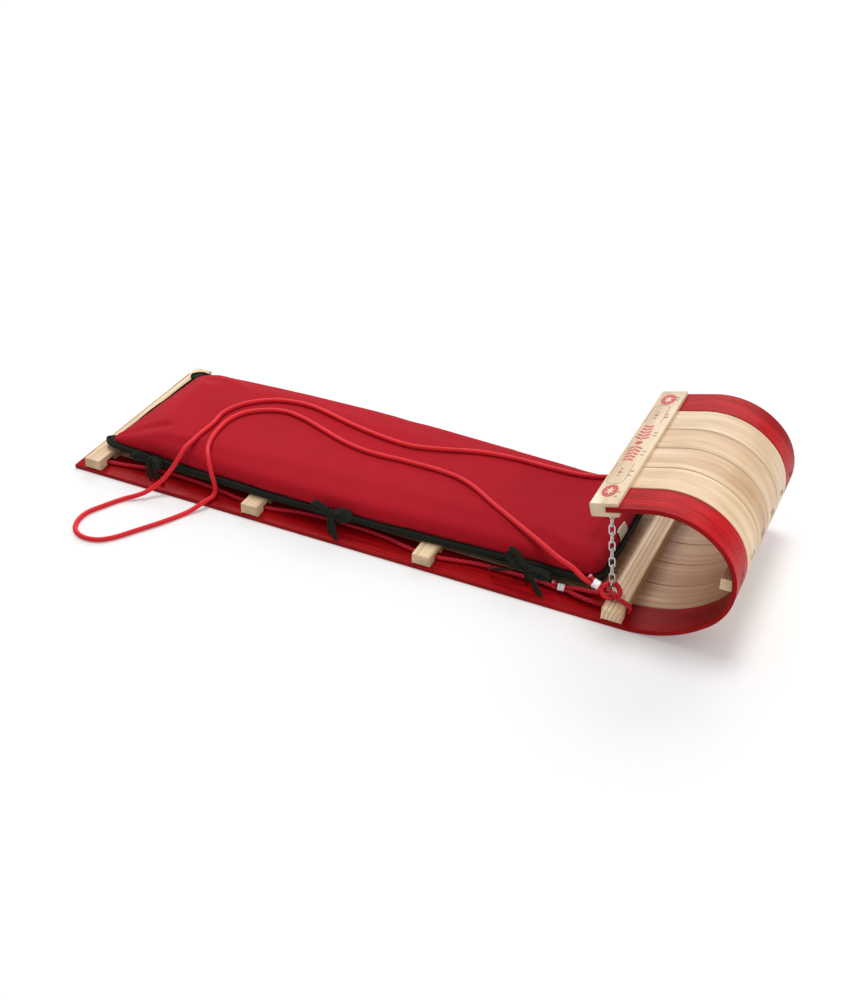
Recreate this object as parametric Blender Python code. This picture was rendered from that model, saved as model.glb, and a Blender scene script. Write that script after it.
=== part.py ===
"""Four-foot wooden toboggan with a steam-bent curl, seat cushion, pull rope and grab rope.

Frame: metres, +X towards the curl, +Y to the rider's left, +Z up. The origin is the centre
of the bounding box on the ground. Right-hand pieces are at negative Y.
"""

from math import atan2, ceil, cos, pi, radians, sin

import bmesh
import bpy
from mathutils import Matrix, Vector

# ---- driving dimensions -------------------------------------------------------------------
LENGTH = 1.2192             # 48 in, tail to the front of the curl
WIDTH = 0.381               # 15 in, across all six slats
SLATS = 6
SLAT_THICK = 0.008
SLAT_GAP = 0.0006           # between neighbouring slats
SLAT_WIDE = (WIDTH - (SLATS - 1) * SLAT_GAP) / SLATS
SLAT_CHAMFER = 0.0012
GAP = 0.0003                # left between pieces that touch
TAIL = -LENGTH / 2

# The curl: outer surface of the slats, arcs that follow one another from the flat base.
CURL_START = 0.4419         # X where the flat base ends
CURL_ARCS = ((0.1957, 44.0), (0.1042, 90.5), (0.1258, 59.9))    # radius, degrees turned
CURL_STEP = 7.5             # degrees for each facet
CURL_END_RUN = 0.0652       # straight run into the headboard

CROSSBAR_WIDE = 0.032
CROSSBAR_HIGH = 0.019
CROSSBAR_SPACING = 0.3302   # 13 in
TAIL_CROSSBAR_X = TAIL + 0.0395
FRONT_CROSSBAR_REAR = 0.4064
FRONT_CROSSBAR_WIDE = 0.0336
FRONT_CROSSBAR_HIGH = 0.021
CROSSBAR_HALF = WIDTH / 2 - 0.0032
CROSSBAR_CHAMFER = 0.0018
NOTCH_OUTER = 0.167         # the grab rope's notch, distance from the centre line
NOTCH_WIDE = 0.025
NOTCH_HIGH = 0.0105

NOSE_CENTRE = (0.5054, 0.1299)      # centre of the middle arc, X and Z
NOSE_BAR_REAR = 0.5835
NOSE_BAR_LOW = 0.130
NOSE_BAR_TOP = 0.149

HEADBOARD_CENTRE = (0.3936, 0.2143)     # X and Z
HEADBOARD_TILT = 14.4                   # degrees, front edge up
HEADBOARD_WIDE = 0.0456
HEADBOARD_THICK = 0.0238
HEADBOARD_SLOT_DEEP = 0.020
HEADBOARD_SLAT_TOP = 0.0054             # slat's outer surface above the board's mid-plane

CHAIN_Y = 0.148
CHAIN_LINKS = 10
CHAIN_WIRE = 0.0025
CHAIN_LINK_WIDE = 0.0117
CHAIN_CLEAR = 0.0005
CHAIN_TOP_X = 0.3940
CHAIN_FOOT_X = 0.4103
EYE_WIRE = 0.0024
EYE_RADIUS = 0.0050         # middle of the wire
EYE_SHANK = 0.0075          # in the wood

CUSHION_REAR = -0.5700
CUSHION_FRONT = 0.3850
CUSHION_LOW = 0.0277
CUSHION_SEAM = 0.0400
CUSHION_TOP = 0.0747
CUSHION_CORNER = 0.034
COVER_THICK = 0.0014
BINDING_RADIUS = 0.0025
TIE_PLACES = (-0.464, -0.0854, 0.2659)
TIE_WIDE = 0.010
TIE_THICK = 0.0008
KNOT_HALVES = (0.0062, 0.0050, 0.0056)

PULL_ROPE = 0.0085          # diameters
GRAB_ROPE = 0.0072
FERRULE_LONG = 0.0115
FERRULE_WALL = 0.0007
FERRULE_CLEAR = 0.0008      # around the squeezed strands
CUT_END = 0.0165            # from the middle of a ferrule to the rope's cut end
ROPE_TOLERANCE = 0.0011     # how far a rope's straight stretches may cut its bends
SWELL_RUN = 0.010           # over which a rope swells again beyond its ferrule
SQUEEZE = 0.72              # a rope's diameter inside its ferrule, against outside it

# ---- materials ----------------------------------------------------------------------------
COLOURS = {                 # colour, roughness, metallic
    "painted_slat": ((0.40, 0.010, 0.014), 0.30, 0.0),
    "natural_wood": ((0.80, 0.62, 0.40), 0.45, 0.0),
    "crossbar_wood": ((0.80, 0.63, 0.42), 0.60, 0.0),
    "headboard_wood": ((0.82, 0.65, 0.44), 0.50, 0.0),
    "zinc_chain": ((0.70, 0.70, 0.70), 0.28, 1.0),
    "cover_canvas": ((0.42, 0.010, 0.022), 0.85, 0.0),
    "base_canvas": ((0.020, 0.023, 0.017), 0.90, 0.0),
    "foam": ((0.85, 0.80, 0.60), 0.95, 0.0),
    "tape": ((0.020, 0.023, 0.017), 0.85, 0.0),
    "label_cloth": ((0.62, 0.60, 0.48), 0.80, 0.0),
    "pull_cord": ((0.72, 0.035, 0.050), 0.60, 0.0),
    "grab_cord": ((0.45, 0.015, 0.030), 0.75, 0.0),
    "ferrule_aluminium": ((0.80, 0.80, 0.80), 0.35, 1.0),
}


def material(name):
    found = bpy.data.materials.get(name)
    if found:
        return found
    colour, roughness, metallic = COLOURS[name]
    made = bpy.data.materials.new(name)
    made.use_nodes = True
    shader = made.node_tree.nodes["Principled BSDF"]
    shader.inputs["Base Color"].default_value = (*colour, 1.0)
    shader.inputs["Roughness"].default_value = roughness
    shader.inputs["Metallic"].default_value = metallic
    made.diffuse_color = (*colour, 1.0)
    return made


# ---- mesh helpers -------------------------------------------------------------------------
def new_object(name, bm, material_name=None, smooth_angle=35.0):
    bmesh.ops.recalc_face_normals(bm, faces=bm.faces)
    mesh = bpy.data.meshes.new(name)
    bm.to_mesh(mesh)
    bm.free()
    mesh.shade_smooth()
    mesh.set_sharp_from_angle(angle=radians(smooth_angle))
    made = bpy.data.objects.new(name, mesh)
    bpy.context.scene.collection.objects.link(made)
    if material_name:
        mesh.materials.append(material(material_name))
    return made


def bridge_rings(bm, rings, closed=False, caps=True):
    """Joins rings of vertices, all with the same count, into one skin."""
    count = len(rings[0])
    pairs = list(zip(rings, rings[1:]))
    if closed:
        pairs.append((rings[-1], rings[0]))
    for low, high in pairs:
        for i in range(count):
            j = (i + 1) % count
            bm.faces.new((low[i], low[j], high[j], high[i]))
    if caps and not closed:
        bm.faces.new(rings[0])
        bm.faces.new(list(reversed(rings[-1])))


def sweep(bm, points, section, across=None, closed=False):
    """Carries a section (pairs along 'across' and the normal) along points, squarely at each one."""
    points = [Vector(p) for p in points]
    count = len(points)
    side = Vector(across) if across else None
    rings = []
    for i, point in enumerate(points):
        if closed:
            before, after = points[i - 1], points[(i + 1) % count]
        else:
            before, after = points[max(i - 1, 0)], points[min(i + 1, count - 1)]
        along = (after - before).normalized()
        if side is None:
            side = along.orthogonal()
        first = (side - along * side.dot(along)).normalized()
        second = along.cross(first)
        if across is None:
            side = first
        rings.append([bm.verts.new(point + first * a + second * b) for a, b in section])
    bridge_rings(bm, rings, closed)


def round_section(radius, sides):
    return [(radius * cos(2 * pi * i / sides), radius * sin(2 * pi * i / sides)) for i in range(sides)]


def flat_section(wide, thick):
    return [(wide / 2, thick / 2), (-wide / 2, thick / 2), (-wide / 2, -thick / 2), (wide / 2, -thick / 2)]


def extrude_outline(bm, outline, half):
    """A closed X, Z outline run from -half to +half along Y."""
    rings = [[bm.verts.new((x, y, z)) for x, z in outline] for y in (-half, half)]
    bridge_rings(bm, rings)


def bevel_long_edges(bm, width, keep):
    edges = [e for e in bm.edges if keep(e) and e.calc_face_angle(0.0) > radians(30)]
    bmesh.ops.bevel(bm, geom=edges, offset=width, segments=1, affect="EDGES")


def guide(name, bm):
    """A shape that only cuts others or is joined to them."""
    made = new_object(name, bm)
    made.hide_render = True
    made.display_type = "WIRE"
    return made


def combine(target, other, operation):
    step = target.modifiers.new(other.name, "BOOLEAN")
    step.operation = operation
    step.object = other


def smooth_route(points, steps):
    """Points along a centripetal Catmull-Rom curve through the route, some for each stretch."""
    route = [Vector(p) for p in points]
    route = [2 * route[0] - route[1]] + route + [2 * route[-1] - route[-2]]
    found = []
    for i in range(1, len(route) - 2):
        p0, p1, p2, p3 = route[i - 1:i + 3]
        t1 = (p1 - p0).length ** 0.5
        t2 = t1 + (p2 - p1).length ** 0.5
        t3 = t2 + (p3 - p2).length ** 0.5
        for k in range(steps):
            t = t1 + (t2 - t1) * k / steps
            a1 = p0 * ((t1 - t) / t1) + p1 * (t / t1)
            a2 = p1 * ((t2 - t) / (t2 - t1)) + p2 * ((t - t1) / (t2 - t1))
            a3 = p2 * ((t3 - t) / (t3 - t2)) + p3 * ((t - t2) / (t3 - t2))
            b1 = a1 * ((t2 - t) / t2) + a2 * (t / t2)
            b2 = a2 * ((t3 - t) / (t3 - t1)) + a3 * ((t - t1) / (t3 - t1))
            found.append(b1 * ((t2 - t) / (t2 - t1)) + b2 * ((t - t1) / (t2 - t1)))
    found.append(route[-2])
    return found


# ---- slats --------------------------------------------------------------------------------
def curl_stations():
    """Each station: X and Z of the outer surface, and the heading there in radians."""
    x, z, heading = CURL_START, 0.0, 0.0
    stations = [(TAIL, 0.0, 0.0), (x, z, heading)]
    for radius, turned in CURL_ARCS:
        facets = ceil(turned / CURL_STEP)
        centre_x, centre_z = x - radius * sin(heading), z + radius * cos(heading)
        for k in range(1, facets + 1):
            angle = heading + radians(turned) * k / facets
            stations.append((centre_x + radius * sin(angle), centre_z - radius * cos(angle), angle))
        x, z, heading = stations[-1]
    stations.append((x + CURL_END_RUN * cos(heading), z + CURL_END_RUN * sin(heading), heading))
    return stations


def slat_centres():
    return [(SLAT_WIDE + SLAT_GAP) * (i - (SLATS - 1) / 2) for i in range(SLATS)]


def make_slat(name, centre, material_name):
    half = SLAT_WIDE / 2
    c = SLAT_CHAMFER
    deep = SLAT_THICK
    section = [(-half + c, 0), (half - c, 0), (half, c), (half, deep - c),
               (half - c, deep), (-half + c, deep), (-half, deep - c), (-half, c)]
    bm = bmesh.new()
    rings = []
    for x, z, heading in curl_stations():
        inward = (-sin(heading), cos(heading))
        rings.append([bm.verts.new((x + inward[0] * d, centre + y, z + inward[1] * d)) for y, d in section])
    bridge_rings(bm, rings)
    return new_object(name, bm, material_name)


def make_slats():
    names = ["slat_right_outer", "slat_2", "slat_3", "slat_4", "slat_5", "slat_left_outer"]
    made = []
    for name, centre in zip(names, slat_centres()):
        outer = name.endswith("outer")
        made.append(make_slat(name, centre, "painted_slat" if outer else "natural_wood"))
    return made


# ---- crossbars ----------------------------------------------------------------------------
def make_crossbar(name, rear, wide, high):
    """A bar across the slats with a notch under each end for the grab rope."""
    low = SLAT_THICK + GAP
    inner = NOTCH_OUTER - NOTCH_WIDE
    roof = low + NOTCH_HIGH
    left = [(inner, low), (inner, roof), (NOTCH_OUTER, roof), (NOTCH_OUTER, low),
            (CROSSBAR_HALF, low), (CROSSBAR_HALF, low + high)]
    outline = left + [(-y, z) for y, z in reversed(left)]
    bm = bmesh.new()
    rings = [[bm.verts.new((x, y, z)) for y, z in outline] for x in (rear, rear + wide)]
    bridge_rings(bm, rings)
    top = low + high - 0.0001
    bevel_long_edges(bm, CROSSBAR_CHAMFER, lambda e: all(v.co.z > top for v in e.verts))
    return new_object(name, bm, "crossbar_wood")


def make_crossbars():
    names = ["tail_crossbar", "rear_crossbar", "middle_crossbar"]
    made = []
    for i, name in enumerate(names):
        rear = TAIL_CROSSBAR_X + CROSSBAR_SPACING * i - CROSSBAR_WIDE / 2
        made.append(make_crossbar(name, rear, CROSSBAR_WIDE, CROSSBAR_HIGH))
    made.append(make_crossbar("front_crossbar", FRONT_CROSSBAR_REAR, FRONT_CROSSBAR_WIDE,
                              FRONT_CROSSBAR_HIGH))
    return made


def make_nose_crossbar():
    """The bar inside the curl, its front face hollowed to the slats' inner radius."""
    radius = CURL_ARCS[1][0] - SLAT_THICK - GAP * 2
    low, high = [atan2(z - NOSE_CENTRE[1], radius) for z in (NOSE_BAR_LOW, NOSE_BAR_TOP)]
    outline = [(NOSE_BAR_REAR, NOSE_BAR_TOP), (NOSE_BAR_REAR, NOSE_BAR_LOW)]
    facets = 5
    for k in range(facets + 1):
        angle = low + (high - low) * k / facets
        outline.append((NOSE_CENTRE[0] + radius * cos(angle), NOSE_CENTRE[1] + radius * sin(angle)))
    bm = bmesh.new()
    extrude_outline(bm, outline, CROSSBAR_HALF)
    rear = NOSE_BAR_REAR + 0.0001
    bevel_long_edges(bm, CROSSBAR_CHAMFER, lambda e: all(v.co.x < rear for v in e.verts))
    return new_object("nose_crossbar", bm, "crossbar_wood")


def headboard_frame():
    tilt = radians(HEADBOARD_TILT)
    along = Vector((cos(tilt), 0, sin(tilt)))
    normal = Vector((-sin(tilt), 0, cos(tilt)))
    centre = Vector((HEADBOARD_CENTRE[0], 0, HEADBOARD_CENTRE[1]))
    return centre, along, normal


def make_headboard():
    """The cap board whose front groove holds the slat ends."""
    centre, along, normal = headboard_frame()
    u, v = HEADBOARD_WIDE / 2, HEADBOARD_THICK / 2
    roof = HEADBOARD_SLAT_TOP + GAP
    floor = HEADBOARD_SLAT_TOP - SLAT_THICK - GAP
    back = u - HEADBOARD_SLOT_DEEP
    flat = [(-u, -v), (u, -v), (u, floor), (back, floor), (back, roof), (u, roof), (u, v), (-u, v)]
    outline = []
    for a, b in flat:
        point = centre + along * a + normal * b
        outline.append((point.x, point.z))
    bm = bmesh.new()
    extrude_outline(bm, outline, CROSSBAR_HALF)

    def outer_edge(e):
        ends = [(w.co - centre) for w in e.verts]
        return all(abs(abs(p.dot(normal)) - v) < 1e-5 and abs(abs(p.dot(along)) - u) < 1e-5 for p in ends)

    bevel_long_edges(bm, CROSSBAR_CHAMFER, outer_edge)
    return new_object("headboard", bm, "headboard_wood")


# ---- chains -------------------------------------------------------------------------------
def chain_ends():
    """Where the two screw eyes meet the wood, at Y = 0."""
    centre, along, normal = headboard_frame()
    shift = (CHAIN_TOP_X - centre.x + normal.x * HEADBOARD_THICK / 2) / along.x
    top = centre + along * shift - normal * HEADBOARD_THICK / 2
    foot = Vector((CHAIN_FOOT_X, 0, SLAT_THICK + GAP + FRONT_CROSSBAR_HIGH))
    return top, foot


def screw_eye_path(foot, out, ring_side):
    """Wire bent from a straight shank into a ring. out leaves the wood, ring_side lies in the ring."""
    rise = EYE_RADIUS + EYE_WIRE / 2 + GAP
    middle = foot + out * rise
    path = [foot - out * EYE_SHANK, foot - out * EYE_SHANK / 2]
    for k in range(13):
        angle = radians(-90 + 322 * k / 12)
        path.append(middle + ring_side * EYE_RADIUS * cos(angle) + out * EYE_RADIUS * sin(angle))
    return path, middle


def make_chain(side, suffix):
    """A straight chain from the headboard down to the front crossbar, with its two screw eyes."""
    y = Vector((0, side * CHAIN_Y, 0))
    top, foot = [p + y for p in chain_ends()]
    down = (foot - top).normalized()
    forward = Vector((0, 1, 0)).cross(down)
    cross = Vector((0, 1, 0))
    top_path, top_ring = screw_eye_path(top, down, cross)
    foot_path, foot_ring = screw_eye_path(foot, -down, forward)
    for label, path in (("upper", top_path), ("lower", foot_path)):
        bm = bmesh.new()
        sweep(bm, path, round_section(EYE_WIRE / 2, 6))
        new_object(f"{label}_screw_eye_{suffix}", bm, "zinc_chain")
    seat = EYE_RADIUS - EYE_WIRE / 2 - CHAIN_WIRE / 2 - CHAIN_CLEAR
    start = top_ring + down * seat
    span = (foot_ring - down * seat - start).length
    pitch = (span - CHAIN_WIRE - CHAIN_CLEAR) / CHAIN_LINKS
    long_half = (pitch + CHAIN_WIRE + CHAIN_CLEAR) / 2
    bend = (CHAIN_LINK_WIDE - CHAIN_WIRE) / 2
    for i in range(CHAIN_LINKS):
        centre = start + down * (long_half + pitch * i)
        wide = forward if i % 2 == 0 else cross
        path = []
        for turn in range(12):
            angle = radians(30 * turn + 15)
            straight = (long_half - bend) * (1 if sin(angle) > 0 else -1)
            path.append(centre + wide * bend * cos(angle) + down * (bend * sin(angle) + straight))
        bm = bmesh.new()
        sweep(bm, path, round_section(CHAIN_WIRE / 2, 6), closed=True)
        new_object(f"chain_{suffix}_link_{i + 1}", bm, "zinc_chain")
    bm = bmesh.new()
    for place, out in ((top, down), (foot, -down)):
        sweep(bm, [place - out * (EYE_SHANK + GAP), place + out * 0.001],
              round_section(EYE_WIRE / 2 + GAP * 1.2, 8))
    return guide(f"screw_eye_cutter_{suffix}", bm)


# ---- cushion ------------------------------------------------------------------------------
def cushion_half(x):
    """Half the cushion's width at X: fullest a little behind its middle."""
    swell = max(0.0, cos((x - CUSHION_REAR - 0.40) * pi / 1.05)) ** 2
    return 0.1395 + 0.0175 * swell


def cushion_ring(inset, z, along=9, corner=4):
    """A closed plan outline of the cushion, inset from its seam line."""
    rear, front = CUSHION_REAR + inset, CUSHION_FRONT - inset
    radius = max(CUSHION_CORNER - inset, 0.008)
    points = []
    for k in range(along + 1):
        x = rear + radius + (front - rear - 2 * radius) * k / along
        points.append((x, -(cushion_half(x) - inset)))
    turn_y = cushion_half(front - radius) - inset - radius
    for k in range(1, corner + 1):
        angle = radians(-90 + 90 * k / corner)
        points.append((front - radius + radius * cos(angle), -turn_y + radius * sin(angle)))
    points += [(x, -y) for x, y in reversed(points[along + 1:])]
    points += [(x, -y) for x, y in reversed(points[:along + 1])]
    turn_y = cushion_half(rear + radius) - inset - radius
    rear_corner = []
    for k in range(1, corner + 1):
        angle = radians(90 + 90 * k / corner)
        rear_corner.append((rear + radius + radius * cos(angle), turn_y + radius * sin(angle)))
    points += rear_corner
    points += [(x, -y) for x, y in reversed(rear_corner)]
    return [Vector((x, y, z)) for x, y in points]


def loft(name, levels, material_name):
    """A closed skin through cushion rings, each level an inset and a height."""
    bm = bmesh.new()
    rings = [[bm.verts.new(p) for p in cushion_ring(inset, z)] for inset, z in levels]
    bridge_rings(bm, rings)
    return new_object(name, bm, material_name, 60)


def make_cushion():
    t = COVER_THICK
    top, seam, low = CUSHION_TOP, CUSHION_SEAM, CUSHION_LOW
    shoulder = [(0.0, seam + GAP), (0.0015, seam + 0.014), (0.007, seam + 0.025),
                (0.017, seam + 0.032), (0.036, top)]
    inside = [(inset + t, z) for inset, z in shoulder[:-1]]
    inside.append((0.036 + t, top - t))
    loft("cushion_cover", [(0.060, top - t)] + list(reversed(inside)) + shoulder + [(0.060, top)],
         "cover_canvas")
    tray = [(0.012, low), (0.004, low + 0.0035), (0.0, seam - GAP)]
    lining = [(inset + t, z + t) for inset, z in tray[:-1]] + [(t, seam - GAP)]
    loft("cushion_base", lining + list(reversed(tray)), "base_canvas")
    loft("foam_core", [(0.015, low + t + 2 * GAP), (0.003, seam), (0.0045, seam + 0.014),
                       (0.011, seam + 0.025), (0.041, top - t - 2 * GAP)], "foam")


# ---- ropes --------------------------------------------------------------------------------
def simplify(points, tolerance):
    """Leaves out the points that lie within the tolerance of the line through the others."""
    start, end = points[0], points[-1]
    if len(points) < 3:
        return [start, end]
    along = end - start

    def offset(point):
        share = (point - start).dot(along) / along.length_squared
        return (point - start - along * min(max(share, 0.0), 1.0)).length

    worst = max(range(1, len(points) - 1), key=lambda i: offset(points[i]))
    if offset(points[worst]) < tolerance:
        return [start, end]
    return simplify(points[:worst + 1], tolerance)[:-1] + simplify(points[worst:], tolerance)


def ferrule_frame(centre, forward, up):
    """Middle of a ferrule, its direction towards the eye, and the direction between its strands."""
    along = Vector(forward).normalized()
    between = Vector(up)
    between = (between - along * between.dot(along)).normalized()
    return Vector(centre), along, between


def eye_route(frame, diameter, eye):
    """Cut end, ferrule, round the eye's points and back through the ferrule."""
    centre, along, between = frame
    apart = between * (diameter * SQUEEZE / 2 + GAP)
    end = along * (FERRULE_LONG / 2)
    clear = end * 1.7
    tip = centre - along * CUT_END + apart * 2
    return [tip, centre - end + apart, centre + end + apart, centre + clear + apart, *eye,
            centre + clear - apart, centre + end - apart, centre - end - apart]


def make_rope(name, route, diameter, frames, sides, material_name):
    """A rope along its route, squeezed where it passes through its ferrules."""
    points = []
    for point in smooth_route(route, 12):
        apart = min((point - centre).length for centre, _, _ in frames) - FERRULE_LONG / 2
        swollen = min(SWELL_RUN, max(0.0, apart - 0.003))
        points.append(Vector((*point, swollen)))
    points = simplify(points, ROPE_TOLERANCE)
    curve = bpy.data.curves.new(name, "CURVE")
    curve.dimensions = "3D"
    curve.bevel_depth = diameter / 2
    curve.bevel_resolution = sides
    curve.use_fill_caps = True
    spline = curve.splines.new("POLY")
    spline.points.add(len(points) - 1)
    for target, point in zip(spline.points, points):
        target.co = (*point[:3], 1.0)
        target.radius = SQUEEZE + (1.0 - SQUEEZE) * point[3] / SWELL_RUN
    curve.materials.append(material(material_name))
    made = bpy.data.objects.new(name, curve)
    bpy.context.scene.collection.objects.link(made)
    return made


def make_ferrule(name, frame, diameter):
    """A pressed sleeve around two strands that lie side by side."""
    centre, along, between = frame
    other = along.cross(between)
    apart = diameter * SQUEEZE / 2 + GAP
    hole = diameter * SQUEEZE / 2 + FERRULE_CLEAR

    def ring(radius, shift):
        points = []
        for k in range(16):
            angle = 2 * pi * (k + 0.5) / 16
            slide = apart if cos(angle) > 0 else -apart
            offset = between * (slide + radius * cos(angle)) + other * (radius * sin(angle))
            points.append(bm.verts.new(centre + along * shift + offset))
        return points

    bm = bmesh.new()
    half = FERRULE_LONG / 2
    outer = hole + FERRULE_WALL
    rings = [ring(outer, -half), ring(outer, half), ring(hole, half), ring(hole, -half)]
    bridge_rings(bm, rings, closed=True)
    return new_object(name, bm, "ferrule_aluminium")


def mirrored(points):
    return [Vector((p[0], -p[1], p[2])) for p in points]


def mirror_frame(frame):
    return tuple(mirrored(frame))


PULL_FERRULE = ((0.3855, -0.1590, 0.0500), (0.960, -0.10, -0.24), (0, 0.80, 0.60))
PULL_EYE = [
    (0.4000, -0.1500, 0.0484), (0.4025, -0.1415, 0.0477), (0.4085, -0.1362, 0.0440),
    (0.4158, -0.1364, 0.0390), (0.4210, -0.1425, 0.0356), (0.4218, -0.1510, 0.0342),
    (0.4165, -0.1585, 0.0342), (0.4080, -0.1638, 0.0351), (0.4000, -0.1665, 0.0395),
]
PULL_RUN_RIGHT = [          # from the right ferrule over the cushion and down beside it
    (0.3655, -0.1605, 0.0545), (0.3415, -0.1520, 0.0645), (0.3160, -0.1450, 0.0688),
    (0.2862, -0.1325, 0.0746), (0.2560, -0.1160, 0.0790), (0.2230, -0.0970, 0.0800),
    (0.1690, -0.0660, 0.0800), (0.1120, -0.0300, 0.0800), (0.0680, -0.0150, 0.0800),
    (-0.0200, -0.0110, 0.0800), (-0.0950, -0.0130, 0.0800),
    (-0.1500, -0.0030, 0.0800), (-0.2050, 0.0170, 0.0800),
    (-0.2560, 0.0350, 0.0800), (-0.2960, 0.0410, 0.0800), (-0.3330, 0.0280, 0.0800),
    (-0.3610, 0.0040, 0.0800), (-0.3735, -0.0290, 0.0800), (-0.3735, -0.0650, 0.0800), (-0.3680, -0.0987, 0.0803),
    (-0.3610, -0.1210, 0.0795), (-0.3530, -0.1355, 0.0775), (-0.3455, -0.1455, 0.0745),
    (-0.3370, -0.1560, 0.0665), (-0.3298, -0.1630, 0.0565), (-0.3250, -0.1655, 0.0440),
    (-0.3224, -0.1660, 0.0330), (-0.3220, -0.1675, 0.0210), (-0.3228, -0.1745, 0.0142),
    (-0.3250, -0.1860, 0.0134), (-0.3290, -0.1975, 0.0130), (-0.3345, -0.2075, 0.0092),
    (-0.3440, -0.2240, 0.0046),
]
PULL_BIGHT = [              # the loop on the ground beside the tail
    (-0.3640, -0.2630, 0.0045), (-0.3940, -0.3100, 0.0045), (-0.4170, -0.3440, 0.0045),
    (-0.4370, -0.3600, 0.0045), (-0.4640, -0.3640, 0.0045), (-0.4870, -0.3530, 0.0045),
    (-0.4995, -0.3310, 0.0045), (-0.5010, -0.3040, 0.0045), (-0.4880, -0.2740, 0.0045),
    (-0.4680, -0.2390, 0.0045),
]
PULL_RUN_LEFT = [           # back up over the cushion and forward to the left ferrule
    (-0.4504, -0.2253, 0.0085), (-0.4391, -0.2163, 0.0125), (-0.4299, -0.2041, 0.0180),
    (-0.4169, -0.1900, 0.0300), (-0.4051, -0.1731, 0.0490), (-0.3990, -0.1570, 0.0655),
    (-0.3972, -0.1420, 0.0748), (-0.3960, -0.1240, 0.0795), (-0.3951, -0.1000, 0.0802),
    (-0.3930, -0.0530, 0.0800),
    (-0.3960, -0.0140, 0.0800), (-0.3800, 0.0290, 0.0800),
    (-0.3430, 0.0640, 0.0800), (-0.3060, 0.0780, 0.0800),
    (-0.2600, 0.0800, 0.0800), (-0.2170, 0.0700, 0.0800), (-0.1600, 0.0540, 0.0800),
    (-0.0950, 0.0420, 0.0800), (-0.0380, 0.0380, 0.0800), (0.0120, 0.0500, 0.0800),
    (0.0800, 0.0730, 0.0800), (0.1450, 0.0830, 0.0800), (0.2200, 0.0830, 0.0800),
    (0.2820, 0.0880, 0.0800), (0.3250, 0.1090, 0.0805), (0.3420, 0.1290, 0.0786),
    (0.3550, 0.1480, 0.0688), (0.3655, 0.1605, 0.0545),
]
GRAB_FERRULE = ((0.3262, -0.1530, 0.0185), (0.995, 0.0, 0.05), (0, 0.55, 0.83))
GRAB_EYE = [
    (0.3571, -0.1495, 0.0232), (0.3885, -0.1510, 0.0285), (0.3975, -0.1540, 0.0385),
    (0.4080, -0.1600, 0.0442), (0.4190, -0.1645, 0.0420), (0.4300, -0.1655, 0.0366),
    (0.4400, -0.1665, 0.0345), (0.4452, -0.1665, 0.0290), (0.4452, -0.1645, 0.0190),
    (0.4405, -0.1610, 0.0126), (0.4280, -0.1600, 0.0122), (0.4080, -0.1600, 0.0122),
    (0.3960, -0.1600, 0.0130), (0.3665, -0.1605, 0.0158),
]
GRAB_RUN = [                # rearwards along the right side, to the middle of the tail
    (0.3000, -0.1500, 0.0152), (0.2659, -0.1480, 0.0148), (0.1800, -0.1480, 0.0135),
    (0.1280, -0.1570, 0.0124), (0.1063, -0.1605, 0.0122), (0.0743, -0.1605, 0.0122),
    (0.0500, -0.1570, 0.0124), (0.0000, -0.1480, 0.0135), (-0.0854, -0.1455, 0.0148),
    (-0.1600, -0.1480, 0.0135), (-0.2020, -0.1570, 0.0124), (-0.2239, -0.1605, 0.0122),
    (-0.2559, -0.1605, 0.0122), (-0.2800, -0.1570, 0.0124), (-0.3600, -0.1480, 0.0135),
    (-0.4640, -0.1475, 0.0148), (-0.5200, -0.1560, 0.0124), (-0.5541, -0.1605, 0.0122),
    (-0.5840, -0.1590, 0.0122), (-0.5912, -0.1510, 0.0121), (-0.5925, -0.1350, 0.0120),
    (-0.5920, -0.0700, 0.0120), (-0.5918, 0.0000, 0.0120),
]


def make_pull_rope():
    right = ferrule_frame(*PULL_FERRULE)
    left = mirror_frame(right)
    eye = eye_route(right, PULL_ROPE, PULL_EYE)
    route = eye + PULL_RUN_RIGHT + PULL_BIGHT + PULL_RUN_LEFT + list(reversed(mirrored(eye)))
    make_rope("pull_rope", route, PULL_ROPE, (right, left), 2, "pull_cord")
    make_ferrule("pull_rope_ferrule_right", right, PULL_ROPE)
    make_ferrule("pull_rope_ferrule_left", left, PULL_ROPE)


def make_grab_rope():
    right = ferrule_frame(*GRAB_FERRULE)
    left = mirror_frame(right)
    half = eye_route(right, GRAB_ROPE, GRAB_EYE) + GRAB_RUN
    route = half + list(reversed(mirrored(half[:-1])))
    make_rope("grab_rope", route, GRAB_ROPE, (right, left), 2, "grab_cord")
    make_ferrule("grab_rope_ferrule_right", right, GRAB_ROPE)
    make_ferrule("grab_rope_ferrule_left", left, GRAB_ROPE)


# ---- cushion trim -------------------------------------------------------------------------
def grab_rope_at(x):
    """Y and Z of the grab rope beside a tie place, on the right-hand side."""
    route = [Vector(p) for p in GRAB_RUN]
    nearest = min(route, key=lambda p: abs(p.x - x))
    return nearest.y, nearest.z


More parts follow.
